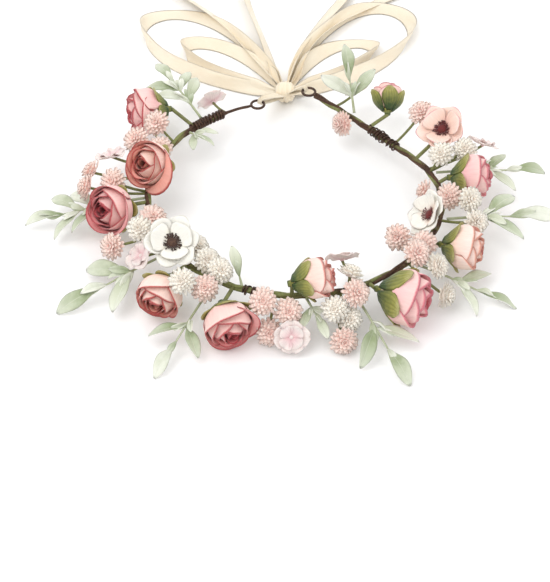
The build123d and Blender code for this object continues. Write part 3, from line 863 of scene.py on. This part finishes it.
def sepals(piece, place, origin, radius, length_, upward, low, finish, random):
    """A socket from the low height, a cup, and five sepals that hug the bud: their turn runs over an arc that
    swells and narrows to a tip, their radius follows the bud with a gap, and their tips roll outwards."""
    u, v = grid(12, 9)
    side, count, start = 2 * u - 1, 5, 0.035
    number = np.arange(count)
    reach = upward + each(random.uniform(-0.05, 0.05, count))
    height = length_ * (start + (reach - start) * v)
    knots = np.array([0.0, start, 0.08, 0.12, 0.2, 0.3, 0.4, 0.5, 0.7, 0.9])
    hug = bud_profile(knots * length_, radius, length_) + 0.0009
    hug[:4] = np.array([0.12, 0.2, 0.34, 0.4]) * radius + 0.0008
    around = np.interp(height, knots * length_, hug)
    roll = rise(v, 0.62, 1.05)
    around = around + roll * radius * (0.12 + 0.10 * each(random.uniform(0, 1, count)))
    around = around + 0.02 * radius * (1 - side ** 2)
    arc = np.radians(33 + 10 * upward) * np.sin(math.pi * (0.24 + 0.72 * v)) ** 0.9
    turn = each(number / count * TURN + 0.35 + random.uniform(-0.1, 0.1, count))
    turn = turn + side * arc + 0.08 * np.sin(3 * v + each(number))
    local = fanned(around, 0.0, height - 0.05 * length_ * roll, turn)
    piece.blades(local @ place.T + origin, 0.0007, finish, random.uniform(0.3, 0.7, count))
    cup, socket = 0.12 * length_ - 0.0004, 0.0019
    profile = [(AXIS_GAP, low), (0.0017, low), (socket, min(low, 0) * 0.4), (socket, 0.15 * cup),
               (0.30 * radius, 0.45 * cup), (0.4 * radius, cup), (AXIS_GAP, cup)]
    piece.turned(profile, place, origin, 20, finish)


def rose_silks(name, pinkness, darkness, dyed):
    """The outer, inner and heart cloths of a rose."""
    tone = colours()
    body = mixed(tone.peach, tone.pink, pinkness)
    tip = mixed(tone.pale, mixed(body, tone.pale, 0.7), pinkness)
    deep, rim = mixed(body, tone.rim, darkness * 0.9), mixed(body, tone.rim, dyed)
    inside = mixed(mixed(tone.coral, tone.pink, pinkness), tone.rim, 0.12 + 0.25 * darkness)
    near, far = mixed(body, tip, 0.45), mixed(body, tip, 0.85)
    return (
        silk(f"{name}_outer_silk", tone.foot, mixed(body, tip, 0.6), tip, rim, 0.915, 0.3, inner=inside),
        silk(f"{name}_inner_silk", body, near, far, rim, 0.905, 0.3, inner=inside),
        silk(f"{name}_heart_silk", deep, mixed(deep, body, 0.15), mixed(body, deep, 0.4), tone.rim, 0.93, 0.3,
             0.05, deep),
    )


class CROWN_OT_roses(bpy.types.Operator):
    """Makes the roses: layers of lapped petals with dyed rims, and sepals below them"""
    bl_idname = "crown.roses"
    bl_label = "Roses"

    def execute(self, context):
        green = calyx_green("sepal_green", colours().sepal_dark, colours().sepal)
        bloom_share, socket_drop = 0.88, 0.0014
        for index, (name, (pinkness, darkness, flaring, upward, dyed)) in enumerate(ROSE_LOOKS.items()):
            random = np.random.default_rng(31 + index)
            petals, calyx = f"{name}_petals", f"{name}_calyx"
            cup, bloom = np.concatenate(solids(calyx)), solids(petals)
            bud = max(bloom, key=lambda one: np.ptp(one.reshape(-1, 3), axis=0).prod())
            axis, middle = unit(centroid(bud) - centroid(cup)), centroid(bud)
            place = standing(axis)
            along, around = about(np.concatenate(bloom), middle, axis)
            radius, length_ = around.max(), np.ptp(along) / bloom_share
            origin = middle + axis * (along.max() - length_)
            piece = Piece()
            silks = rose_silks(name, pinkness, darkness, dyed)
            rose_petals(piece, place, origin, radius, length_, flaring, silks, random)
            piece.finish(f"{name}_bloom", "rose_petal", petals)
            piece = Piece()
            low = about(cup, origin, axis)[0].min() - socket_drop
            sepals(piece, place, origin, radius, length_, upward, low, green, random)
            piece.finish(f"{name}_sepals", "calyx", calyx)
        return {"FINISHED"}


# ---- open flowers ------------------------------------------------------------------------------------
def open_petals(piece, place, origin, radius, count, start, size, climb, finish, random, notch=0.0):
    """Petals of an open flower. Up a petal the distance from the middle grows to the radius, less at the
    corners, and the height grows with its power; across it the width swells and the edges lift and ruffle."""
    u, v = grid(13, 13)
    side = 1 - 2 * u
    phase = each(random.uniform(0, TURN, count))
    cut = 0.20 * side ** 2 * v + notch * np.exp(-(side * 5) ** 2) * v ** 4
    far = radius * size * (0.10 + 0.90 * v) * (1 + 0.06 * np.sin(2 * phase)) * (1 - cut)
    swell = 0.70 * math.sin(math.pi / count) * np.sin(math.pi * (0.04 + 0.74 * v)) ** 0.9
    wide = radius * size * (0.10 + swell)
    lift = climb * radius * (far / radius) ** 1.5 + 0.16 * radius * side ** 2 * np.sin(math.pi * 0.8 * v)
    ruffle = 0.08 * np.sin(3.0 * side + phase) * v ** 2 + 0.05 * np.sin(1.7 * v * math.pi + phase) * v
    droop = 0.12 * rise(v, 0.7, 1.05) * (0.5 + 0.5 * np.sin(phase))
    turn = each(start + np.arange(count) / count * TURN + random.uniform(-0.08, 0.08, count))
    across = side * wide * (1 + 0.05 * np.sin(phase + 3 * v))
    local = fanned(far, across, lift + radius * (ruffle - droop) + 0.0006, turn)
    piece.blades(local @ place.T + origin, sizes().petal_thickness, finish, random.uniform(0.2, 0.8, count))


def stamens(piece, place, origin, button, count, finish, random):
    """A ring of short threads that lean out from the centre, each a narrow blade, wider at its tip. They
    stand a golden angle apart."""
    u, v = grid(4, 3)
    golden = 2.39996
    share = each(random.uniform(0.35, 1.0, count))
    far = button * (0.5 + share * v)
    across = (1 - 2 * u) * (0.00016 + 0.00034 * v ** 3)
    height = button * 0.8 * (0.35 + 0.65 * v * (1.3 - share)) + 0.0004 * v
    local = fanned(far, across, height, each(np.arange(count) * golden))
    piece.blades(local @ place.T + origin, 0.0005, finish)


class CROWN_OT_blossoms(bpy.types.Operator):
    """Makes the open blossoms: a ring of ruffled petals, three more on it, and a flocked centre with
    stamens"""
    bl_idname = "crown.blossoms"
    bl_label = "Open blossoms"

    def execute(self, context):
        tone = colours()
        white = silk("white_silk", mixed(tone.cream, tone.foot, 0.35), mixed(tone.white, tone.cream, 0.5),
                     tone.white, mixed(tone.white, tone.foot, 0.25), 0.97, 0.2)
        blush = silk("blush_silk", mixed(tone.pink, tone.foot, 0.4), mixed(tone.blush, tone.peach, 0.35),
                     mixed(tone.blush, tone.peach, 0.1), mixed(tone.blush, tone.pink, 0.7), 0.94, 0.3)
        cream = silk("cream_silk", mixed(tone.cream, tone.peach, 0.5), tone.cream, tone.white,
                     mixed(tone.cream, tone.pink, 0.2), 0.95, 0.3)
        brown = flock("stamen_flock", tone.stamen, mixed(tone.stamen, tone.bark_light, 0.8))
        wine = flock("wine_flock", mixed(tone.rim, tone.stamen, 0.85), mixed(tone.rim, tone.stamen, 0.6))
        looks = (("white_anemone", "white_petal", 6, 1.02, white, brown, 70),
                 ("blush_anemone", "blush_petal", 5, 1.06, blush, wine, 60),
                 ("cream_blossom", "cream_petal", 5, 1.22, cream, wine, 30))
        for index, (name, slot, count, wider, cloth, fuzz, threads) in enumerate(looks):
            random = np.random.default_rng(71 + index)
            centre, dish = (np.concatenate(solids(f"{name}_{part}")) for part in ("centre", "petals"))
            middle = centroid(centre)
            axis = unit(middle - centroid(dish))
            place = standing(axis)
            radius = about(dish, centroid(dish), axis)[1].max() * wider
            button, rim = 0.3 * radius, 0.0016
            origin = middle + axis * (about(centre, middle, axis)[0].max() - 0.8 * button - 0.0018)
            piece = Piece()
            open_petals(piece, place, origin, radius, count, 0.0, 1.08, 0.40, cloth, random)
            upper = origin + axis * 0.0010
            open_petals(piece, place, upper, radius, 3, math.pi / count, 0.84, 0.66, cloth, random)
            piece.turned([(AXIS_GAP, -0.004), (0.0011, -0.004), (0.0018, -0.001), (0.0026, 0.0005),
                          (AXIS_GAP, 0.0012)], place, origin, 14, cloth)
            piece.finish(f"{name}_bloom", slot, f"{name}_petals")
            piece = Piece()
            angle = np.linspace(0, math.pi / 2, 7)[:-1]
            dome = zip(button * 0.82 * np.cos(angle), rim + button * 0.62 * np.sin(angle))
            profile = [(AXIS_GAP, 0.0004), (button * 0.7, 0.0006), *dome, (AXIS_GAP, rim + button * 0.62)]
            piece.turned(profile, place, origin, 24, fuzz,
                         lambda turn, row: 1 + 0.06 * np.sin(9 * turn + 2.1 * row) * (row > 1))
            stamens(piece, place, origin + axis * 0.0012, button, threads, fuzz, random)
            piece.finish(f"{name}_stamens", "stamen", f"{name}_centre")
        return {"FINISHED"}


# ---- small flowers -----------------------------------------------------------------------------------
def thin_stem(piece, head, start, origin, axis, radius, finish):
    """A thin stem from a flower to where its CAD stem ends: the mean of the head's corners farthest from the
    flower, outside its own shape. It is a line with a sine of its share added downwards."""
    corners = head.reshape(-1, 3)
    height, around = about(head, origin, axis)
    free = corners[(height < -0.0008) | (around > radius * 1.08)]
    if not len(free):
        return
    distance = np.linalg.norm(free - origin, axis=1)
    end = free[distance > distance.max() - 0.0004].mean(0)
    share = np.linspace(0, 1, 9)[:, None]
    sag = 0.05 * np.linalg.norm(end - start)
    path = start + (end - start) * share - np.sin(share * math.pi) * sag * UP
    piece.tube(path, sizes().thin_stem, 8, finish)


# Petals in a ring of a pompom, their elevation in degrees, their reach as a share of the radius and the
# height of the ring's foot as a share of the depth
POMPOM_RINGS = ((16, 2, 1.14, 0.05), (15, 12, 1.06, 0.24), (12, 22, 0.90, 0.44), (9, 34, 0.72, 0.58),
                (6, 52, 0.52, 0.66))
# A pompom's core: radii as shares of its radius and heights as shares of its depth
POMPOM_CORE = ((0.25, -0.05), (0.5, 0.2), (0.36, 0.5), (0.2, 0.72))


def pompom_petals(piece, place, origin, radius, depth, finish, random):
    """Rings of narrow spoon-shaped petals. Up a petal the point moves out along the ring's elevation, and its
    tip bends up; across it the width swells to a round tip and the edges lift into a channel."""
    u, v = grid(5, 4)
    side = 1 - 2 * u
    for ring, (count, elevation, reach, foot) in enumerate(POMPOM_RINGS):
        number = np.arange(count) + 0.5 * (ring % 2)
        turn = each(number / count * TURN + random.uniform(-0.07, 0.07, count))
        tilt = np.radians(each(elevation + random.uniform(-6, 6, count)))
        span = radius * reach * each(random.uniform(0.92, 1.04, count))
        far = 0.12 * radius + (span - 0.12 * radius) * v * (1 - 0.10 * side ** 2 * v)
        wide = radius * (0.06 + 0.115 * np.sin(math.pi * (0.05 + 0.74 * v)))
        lift = radius * (0.07 * side ** 2 + 0.12 * v ** 3)
        flat = far * np.cos(tilt) - lift * np.sin(tilt)
        high = (far * np.sin(tilt) + lift * np.cos(tilt)) * (depth / radius) + foot * depth
        local = fanned(flat, side * wide, high, turn)
        piece.blades(local @ place.T + origin, 0.0004, finish, random.uniform(0.1, 0.9, count))


class CROWN_OT_pompoms(bpy.types.Operator):
    """Makes the pompoms: rings of narrow curled petals round a core, each on its own thin stem"""
    bl_idname = "crown.pompoms"
    bl_label = "Pompoms"

    def execute(self, context):
        size, tone = sizes(), colours()
        twig = stem_green("thin_stem_green", mixed(tone.olive, tone.bark, 0.4), tone.olive)
        pink = curl_paper("pink_paper", mixed(tone.blush, tone.pink, 0.22),
                          mixed(tone.blush, tone.cream, 0.3))
        white = curl_paper("white_paper", mixed(tone.cream, tone.blush, 0.35), tone.cream)
        depth, head_reach, top_reach = size.pompom_depth, 0.0085, 0.003
        kinds = (("pink", "left", pink, 1.05), ("pink", "right", pink, 1.05), ("white", "left", white, 1.0),
                 ("white", "right", white, 1.0))
        for index, (colour, side, paper, wider) in enumerate(kinds):
            random = np.random.default_rng(91 + index)
            node = f"{colour}_pompoms_{side}"
            radius = size.pompom_radius * wider
            piece = Piece()
            for head in solids(node):
                point, axis = axis_of_turning(head, head_reach)
                height, around = about(head, point, axis)
                origin = point + axis * (height[around < top_reach].max() - depth)
                place = standing(axis)
                pompom_petals(piece, place, origin, radius, depth, paper, random)
                core = [(share * radius, up * depth) for share, up in POMPOM_CORE]
                core = [(AXIS_GAP, -0.05 * depth), *core, (AXIS_GAP, 0.8 * depth)]
                piece.turned(core, place, origin, 12, paper, tint=0.2)
                thin_stem(piece, head, origin + axis * 0.12 * depth, origin, axis, radius, twig)
            piece.finish(f"{node}_curled", f"{colour}_mum", node)
        return {"FINISHED"}


class CROWN_OT_florets(bpy.types.Operator):
    """Makes the florets: two sets of four sheer notched petals round a small bud, each floret on its own
    thin stem"""
    bl_idname = "crown.florets"
    bl_label = "Florets"

    def execute(self, context):
        tone = colours()
        twig = stem_green("floret_stem_green", mixed(tone.olive, tone.bark, 0.4), tone.olive)
        cloth = silk("mauve_silk", mixed(tone.mauve, tone.pink, 0.4), tone.mauve,
                     mixed(tone.mauve, tone.white, 0.55), mixed(tone.mauve, tone.pink, 0.25), 0.96, 0.45,
                     0.25)
        petals, head_reach, bud_radius, rim_height = 4, 0.0105, 0.0005, 0.0022
        sets = ((0.0, 0.0, 1.0, 0.16, 0.10), (0.0008, math.pi / petals, 0.72, 0.30, 0.08))
        bud = [(AXIS_GAP, -0.0006), (0.0009, -0.0005), (0.0014, 0.0006), (0.0013, 0.0016), (0.0007, 0.0023),
               (AXIS_GAP, 0.0025)]
        for index, side in enumerate(("left", "right")):
            random = np.random.default_rng(131 + index)
            node = f"blush_florets_{side}"
            piece = Piece()
            for head in solids(node):
                point, axis = axis_of_dish(head, head_reach)
                height, around = about(head, point, axis)
                middle = (around > bud_radius) & (around < head_reach - 0.0004)
                radius = around[middle].max()
                rim = height[middle & (around > radius - 0.0002)].mean()
                origin, place = point + axis * (rim - rim_height), standing(axis)
                for lift, start, scale, climb, notch in sets:
                    foot = origin + axis * lift
                    open_petals(piece, place, foot, radius, petals, start, scale, climb, cloth, random, notch)
                piece.turned(bud, place, origin, 10, cloth, tint=0.1)
                thin_stem(piece, head, origin, origin, axis, radius, twig)
            piece.finish(f"{node}_sheer", "blush_petal", node)
        return {"FINISHED"}


# ---- leaves ------------------------------------------------------------------------------------------
def leaf(piece, foot, along, normal, length_, finish, random):
    """A leaf: its width swells as a power of a sine and narrows to a soft tip, its spine arches and droops,
    its halves fold up from the midrib, and it turns a little about its spine towards the tip."""
    u, v = grid(13, 9)
    side = 1 - 2 * u
    half = length_ * (0.02 + 0.170 * np.sin(math.pi * np.clip(0.02 + 0.93 * v ** 1.2, 0, 1)) ** 0.9)
    arch, droop, fold, twist = random.uniform((0.02, -0.04, 0.20, -0.8), (0.10, 0.16, 0.50, 0.8))
    wave = 0.018 * length_ * np.sin(2.6 * math.pi * v + random.uniform(0, 6)) * np.abs(side)
    across = side * half
    folded = np.abs(across) * fold
    lift = folded + wave + length_ * (arch * np.sin(math.pi * v) - droop * v ** 2.2)
    y = across * np.cos(twist * v) - folded * np.sin(twist * v)
    local = stack(length_ * v * (1 - 0.03 * side ** 2 * v), y, lift + across * np.sin(twist * v))[None]
    place = np.column_stack([along, np.cross(normal, along), normal])
    piece.blades(local @ place.T + foot, sizes().leaf_thickness, finish, random.uniform(0.1, 0.9))


def spread(triangles):
    """Middle, directions and half lengths of a solid's corners: the directions are the eigenvectors of their
    covariance, shortest first."""
    corners = triangles.reshape(-1, 3)
    middle = corners.mean(0)
    _, directions = np.linalg.eigh(np.cov((corners - middle).T))
    reach = (corners - middle) @ directions
    middle = middle + directions @ ((reach.max(0) + reach.min(0)) / 2)
    return middle, directions, np.ptp(reach, axis=0) / 2


def rose_spheres():
    """The middle of each rose's box, and its half width with a gap."""
    gap = 0.004
    boxes = [box_of(f"{name}_petals") for name in ROSE_LOOKS]
    return [((low + high) / 2, (high - low).max() / 2 + gap) for low, high in boxes]


class CROWN_OT_sprigs(bpy.types.Operator):
    """Makes the leaf sprigs: a thin tapering stem with short stalks and leaves, and beside each leaf two
    small ones where they stay clear of the roses"""
    bl_idname = "crown.sprigs"
    bl_label = "Leaf sprigs"

    def execute(self, context):
        tone = colours()
        green = foliage("leaf_cloth", tone.sage_dark, tone.sage, tone.velvet)
        pale = foliage("pale_leaf_cloth", tone.sage, mixed(tone.sage, tone.velvet, 0.6),
                       mixed(tone.velvet, tone.white, 0.4))
        twig = stem_green("sprig_stem_green", mixed(tone.olive, tone.sage, 0.4),
                          mixed(tone.olive, tone.sage, 0.8))
        roses = rose_spheres()
        for index in range(1, 13):
            random = np.random.default_rng(171 + index)
            shapes = [spread(one) for one in solids(f"sprig_{index}")]
            rod = min(shapes, key=lambda shape: shape[2][1])
            leaves = [shape for shape in shapes if shape is not rod]
            crown = np.mean([shape[0] for shape in leaves], axis=0)
            ends = [rod[0] + sign * rod[1][:, 2] * rod[2][2] for sign in (-1, 1)]
            root, tip = sorted(ends, key=lambda end: -np.linalg.norm(end - crown))
            whole = tip - root
            tall, stem = np.linalg.norm(whole), unit(whole)
            piece = Piece()
            share = np.linspace(0, 1, 12)[:, None]
            bow = np.sin(share * math.pi) * 0.02 * tall * UP
            piece.tube(root + whole * share + bow, sizes().thin_stem * (1.05 - 0.45 * share), 9, twig)
            for number, (middle, directions, reach) in enumerate(leaves):
                cloth, other = (pale, green) if (number + index) % 3 == 0 else (green, pale)
                along = directions[:, 2]
                if along @ (middle - root) < 0:
                    along = -along
                long = reach[2] * 2
                foot = middle - along * reach[2]
                normal = directions[:, 0] * (1 if directions[2, 0] > 0 else -1)
                leaf(piece, foot, along, normal, long, cloth, random)
                nearest = root + whole * np.clip((foot - root) @ whole / (whole @ whole), 0, 1)
                stalk = np.linspace(0, 1, 5)[:, None]
                piece.tube(nearest + (foot + along * 0.0012 - nearest) * stalk, 0.00045, 6, twig)
                mirrored = 2 * (along @ stem) * stem - along
                for turned, share in ((0.0, 0.55), (0.8, 0.45)):
                    beside = unit(mirrored + stem * (0.35 + turned) + UP * random.uniform(0.05, 0.5))
                    base = nearest + stem * random.uniform(-0.14, 0.02) * tall
                    upward = UP - beside[2] * beside + 0.4 * random.normal(size=3) * (1 - abs(beside))
                    upward = unit(upward - (upward @ beside) * beside)
                    size = long * share * random.uniform(0.85, 1.1)
                    if all(np.linalg.norm(base + beside * size - rose) > far for rose, far in roses):
                        leaf(piece, base, beside, upward, size, other, random)
            piece.finish(f"sprig_{index}_leaves", "leaf", f"sprig_{index}")
        return {"FINISHED"}


# ---- ribbon ------------------------------------------------------------------------------------------
def bezier(points):
    """Points of the Bezier curve with these pulls: each pull weighted by its Bernstein term. The second value
    is the share of the way along it."""
    share = np.linspace(0, 1, 110)[:, None]
    order = len(points) - 1
    terms = [math.comb(order, i) * share ** i * (1 - share) ** (order - i) for i in range(order + 1)]
    return sum(term * np.array(point) for term, point in zip(terms, points)), share[:, 0]


def ribbon_strand(name, path, lean, slack, gathered, node, material, wave):
    """A ribbon on its edge along a level path. At each point its width runs upwards, tipped over sideways by
    the lean, with slow waves in its upper edge, and it is gathered to half its width where it meets the
    knot."""
    width, gather_length, least = sizes().ribbon_width, 0.018, 0.5
    run, tangent = run_along(path), tangents(path)
    side = np.stack([tangent[:, 1], -tangent[:, 0]], -1)
    u = np.linspace(0, 1, 11)[None]
    narrow = np.ones(len(run))
    for distance in (run, run[-1] - run)[:gathered]:
        narrow = narrow * (least + (1 - least) * rise(distance, 0.0, gather_length))
    narrow, phase = narrow[:, None], run[:, None] * slack + wave
    tilt = lean[:, None] + 0.26 * np.sin(phase)
    height = width * narrow * (u * np.cos(tilt)) + width * (1 - narrow) * 0.5
    sideways = width * narrow * u * np.sin(tilt) + 0.0008 * np.sin(phase * 1.7 + 5 * u) * u
    sideways = sideways + 0.0009 * (1 - narrow) * np.sin(u * TURN * 2.5)
    flat = path[:, None] + side[:, None] * sideways[..., None]
    piece = Piece()
    points = stack(flat[..., 0], flat[..., 1], FLOOR_HEIGHT + 0.0004 + height)
    piece.blades(points[None], sizes().ribbon_thickness, material)
    piece.scale_map((1.0, run[-1] / width))
    made = piece.finish(name, "satin_ribbon", node)


class CROWN_OT_bow(bpy.types.Operator):
    """Makes the bow: two loops and two tails on each side, each a strip of satin on its edge. A loop tips
    backwards where it runs sideways and outwards in its middle; a tail tips outwards more and more"""
    bl_idname = "crown.bow"
    bl_label = "Bow loops and tails"

    def execute(self, context):
        cloth, knot = satin("ribbon_satin", colours().ribbon), KNOT[:2]
        inside_knot = 0.004712
        for hand, sign in (("left", 1), ("right", -1)):
            for number, (out, back) in enumerate(LOOPS[hand], start=1):
                first, last = (knot + unit(np.array(pull)) * inside_knot for pull in (out, back))
                path, share = bezier([first, knot + out, knot + back, last])
                lean = -0.85 * tangents(path)[:, 0] - 0.45 * sign * np.sin(share * math.pi)
                ribbon_strand(f"bow_loop_{hand}_{number}", path, lean, 55.0, 2, f"bow_loops_{hand}", cloth,
                              number * 1.3 + (hand == "left"))
            for number, bends in enumerate(TAILS[hand], start=1):
                first = knot + unit(np.array(bends[0])) * inside_knot
                path, share = bezier([first] + [knot + bend for bend in bends])
                lean = -sign * (0.75 + 0.45 * rise(share, 0.2, 0.9)) * (1 if number == 1 else 0.85)
                ribbon_strand(f"ribbon_tail_{hand}_{number}", path, lean, 42.0, 1, f"ribbon_tails_{hand}",
                              cloth, number * 2.1)
        return {"FINISHED"}


class CROWN_OT_knot(bpy.types.Operator):
    """Makes the knot: a band of satin turned round a level line, fuller in the middle, with slanting
    creases"""
    bl_idname = "crown.knot"
    bl_label = "Knot"

    def execute(self, context):
        low, high = box_of("bow_knot")
        half, radius = (high[0] - low[0]) / 2, (high[2] - low[2]) / 2
        cloth = satin("knot_satin", colours().ribbon)
        share = np.linspace(-1, 1, 29)
        fullness = np.maximum(1 - np.abs(share) ** 3.2, 0.02) ** 0.42
        profile = np.column_stack([1.25 * radius * fullness, share * half * 1.2])
        place = np.column_stack([(0, 1, 0), (0, 0, 1), (1, 0, 0)]).astype(float)

        def creases(turn, row):
            return 0.93 + 0.045 * np.sin(0.9 * row + 1.2 * np.sin(turn)) + 0.03 * np.cos(2 * turn + 0.3 * row)

        piece = Piece()
        piece.turned(profile, place, KNOT + 0.15 * radius * UP, 48, cloth, creases)
        piece.maps[-1] = piece.maps[-1][:, ::-1]
        piece.scale_map((1.0, 3.4))
        piece.finish("bow_knot_folds", "satin_ribbon", "bow_knot")
        return {"FINISHED"}


class CROWN_OT_hitches(bpy.types.Operator):
    """Makes the hitches: the ribbon runs from the knot to an eye, folds round its wire and runs back. Its
    width narrows towards the eye, and pleats take up what the width loses"""
    bl_idname = "crown.hitches"
    bl_label = "Ribbon hitches"

    def execute(self, context):
        cloth, path = satin("hitch_satin", colours().ribbon), hoop_path()
        width, eye_radius, eye_gap, fold, knot_reach = sizes().ribbon_width, 0.004, 0.0015, 0.00145, 0.0072
        for hand, end, before in (("left", path[0], path[1]), ("right", path[-1], path[-2])):
            eye = end + unit(end - before) * (eye_gap + eye_radius)
            level = unit((KNOT - eye) * (1, 1, 0))
            wire = eye + level * eye_radius
            along, across = unit(KNOT - wire), unit(np.cross(level, UP))
            upward = np.cross(across, along)
            reach = np.linalg.norm(KNOT - wire) - knot_reach
            straight = np.linspace(1, 0, 30)[:-1]
            angle = np.linspace(0, math.pi, 13)
            apart = fold * (1 - 0.6 * rise(straight, 0.3, 1.0))
            x = np.concatenate([reach * straight, -fold * np.sin(angle), reach * straight[::-1]])
            y = np.concatenate([apart, fold * np.cos(angle), -apart[::-1]])
            u = np.linspace(0, 1, 33)[None]
            open_share = (np.clip(x / reach, 0, 1) ** 0.8)[:, None]
            wide = (0.30 + 0.66 * open_share) * width
            pleat = 0.00105 * (1 - 0.85 * open_share) * np.sin(u * TURN * 3.5 + 1.1)
            high = y[:, None] + pleat * np.sign(y + 1e-9)[:, None] * 0.6
            local = stack(x[:, None], (u - 0.5) * wide, high) @ np.array([along, across, upward]) + wire
            run = run_along(np.column_stack([x, y]))
            piece = Piece()
            piece.blades(local[None], sizes().ribbon_thickness, cloth)
            piece.scale_map((1.0, run[-1] / width))
            node = f"ribbon_hitch_{hand}"
            made = piece.finish(f"{node}_fold", "satin_ribbon", node, rides=hand == "right")
            if hand == "left":
                tuple(wire + along * reach * 0.95)
                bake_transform(made)
        return {"FINISHED"}


# ---- stage -------------------------------------------------------------------------------------------
# Place in metres, width in metres and power in watts of each soft light
LIGHTS = {
    "key": ((-0.5, -0.35, 1.1), 0.9, 6.5),
    "fill": ((0.9, -0.5, 0.9), 1.2, 3.5),
    "back": ((0.1, 1.1, 0.8), 1.0, 3.0),
}


def put_in_scene(name, data, place, turning):
    """Puts a camera or light in the scene."""
    made = bpy.data.objects.new(name, data)
    made.location, made.rotation_euler = place, turning
    bpy.context.scene.collection.objects.link(made)
    return made


class CROWN_OT_stage(bpy.types.Operator):
    """Makes the plain pale floor, soft lights and the camera"""
    bl_idname = "crown.stage"
    bl_label = "Stage"

    def execute(self, context):
        scene, half = context.scene, 3
        u, v = grid(3, 3)
        points = stack(half * (2 * u - 1), half * (2 * v - 1), FLOOR_HEIGHT).reshape(-1, 3)
        piece = Piece()
        faces = quads(np.arange(len(points)).reshape(u.shape)).tolist()
        piece.add(points, faces, points[:, :2], backdrop("floor_paper", colours().floor))
        piece.finish("floor", "paper_wrap")
        lens = bpy.data.cameras.new("camera")
        lens.lens, lens.sensor_width = 96.0, 36.0
        downwards, aside = 44.65, 0.976
        turning = (math.radians(90 - downwards), 0.0, math.radians(aside))
        scene.camera = put_in_scene("camera", lens, (0.0, -0.6792, 0.5905), turning)
        for name, (place, size, power) in LIGHTS.items():
            light = bpy.data.lights.new(name, "AREA")
            light.size, light.energy = size, power
            put_in_scene(name, light, place, Vector(place).to_track_quat("Z", "Y").to_euler())
        world = bpy.data.worlds.new("studio")
        world.use_nodes = True
        sky = world.node_tree.nodes["Background"].inputs
        sky["Color"].default_value, sky["Strength"].default_value = (1.0, 1.0, 1.0, 1.0), 0.88
        scene.world = world
        scene.view_settings.view_transform = "Standard"
        return {"FINISHED"}


STEPS = (CROWN_OT_stage, CROWN_OT_hoop, CROWN_OT_binding, CROWN_OT_stems, CROWN_OT_roses, CROWN_OT_blossoms,
         CROWN_OT_pompoms, CROWN_OT_florets, CROWN_OT_sprigs, CROWN_OT_knot, CROWN_OT_bow, CROWN_OT_hitches)


class CROWN_PT_panel(bpy.types.Panel):
    """Lists the crown's steps, sizes and colours"""
    bl_idname = "CROWN_PT_panel"
    bl_label = "Flower crown"
    bl_space_type = "VIEW_3D"
    bl_region_type = "UI"
    bl_category = "Crown"

    def draw(self, context):
        for step in STEPS:
            self.layout.operator(step.bl_idname)
        for group in (context.scene.crown_sizes, context.scene.crown_colours):
            column = self.layout.column()
            for key in group.__annotations__:
                column.prop(group, key)


CLASSES = (CrownSizes, CrownColours, *STEPS, CROWN_PT_panel)


def register():
    for one in CLASSES:
        bpy.utils.register_class(one)
    bpy.types.Scene.crown_sizes = bpy.props.PointerProperty(type=CrownSizes)
    bpy.types.Scene.crown_colours = bpy.props.PointerProperty(type=CrownColours)


def unregister():
    del bpy.types.Scene.crown_colours
    del bpy.types.Scene.crown_sizes
    for one in reversed(CLASSES):
        bpy.utils.unregister_class(one)


def main():
    register()
    for step in STEPS:
        group, name = step.bl_idname.split(".")
        getattr(getattr(bpy.ops, group), name)()


if __name__ == "__main__":
    main()
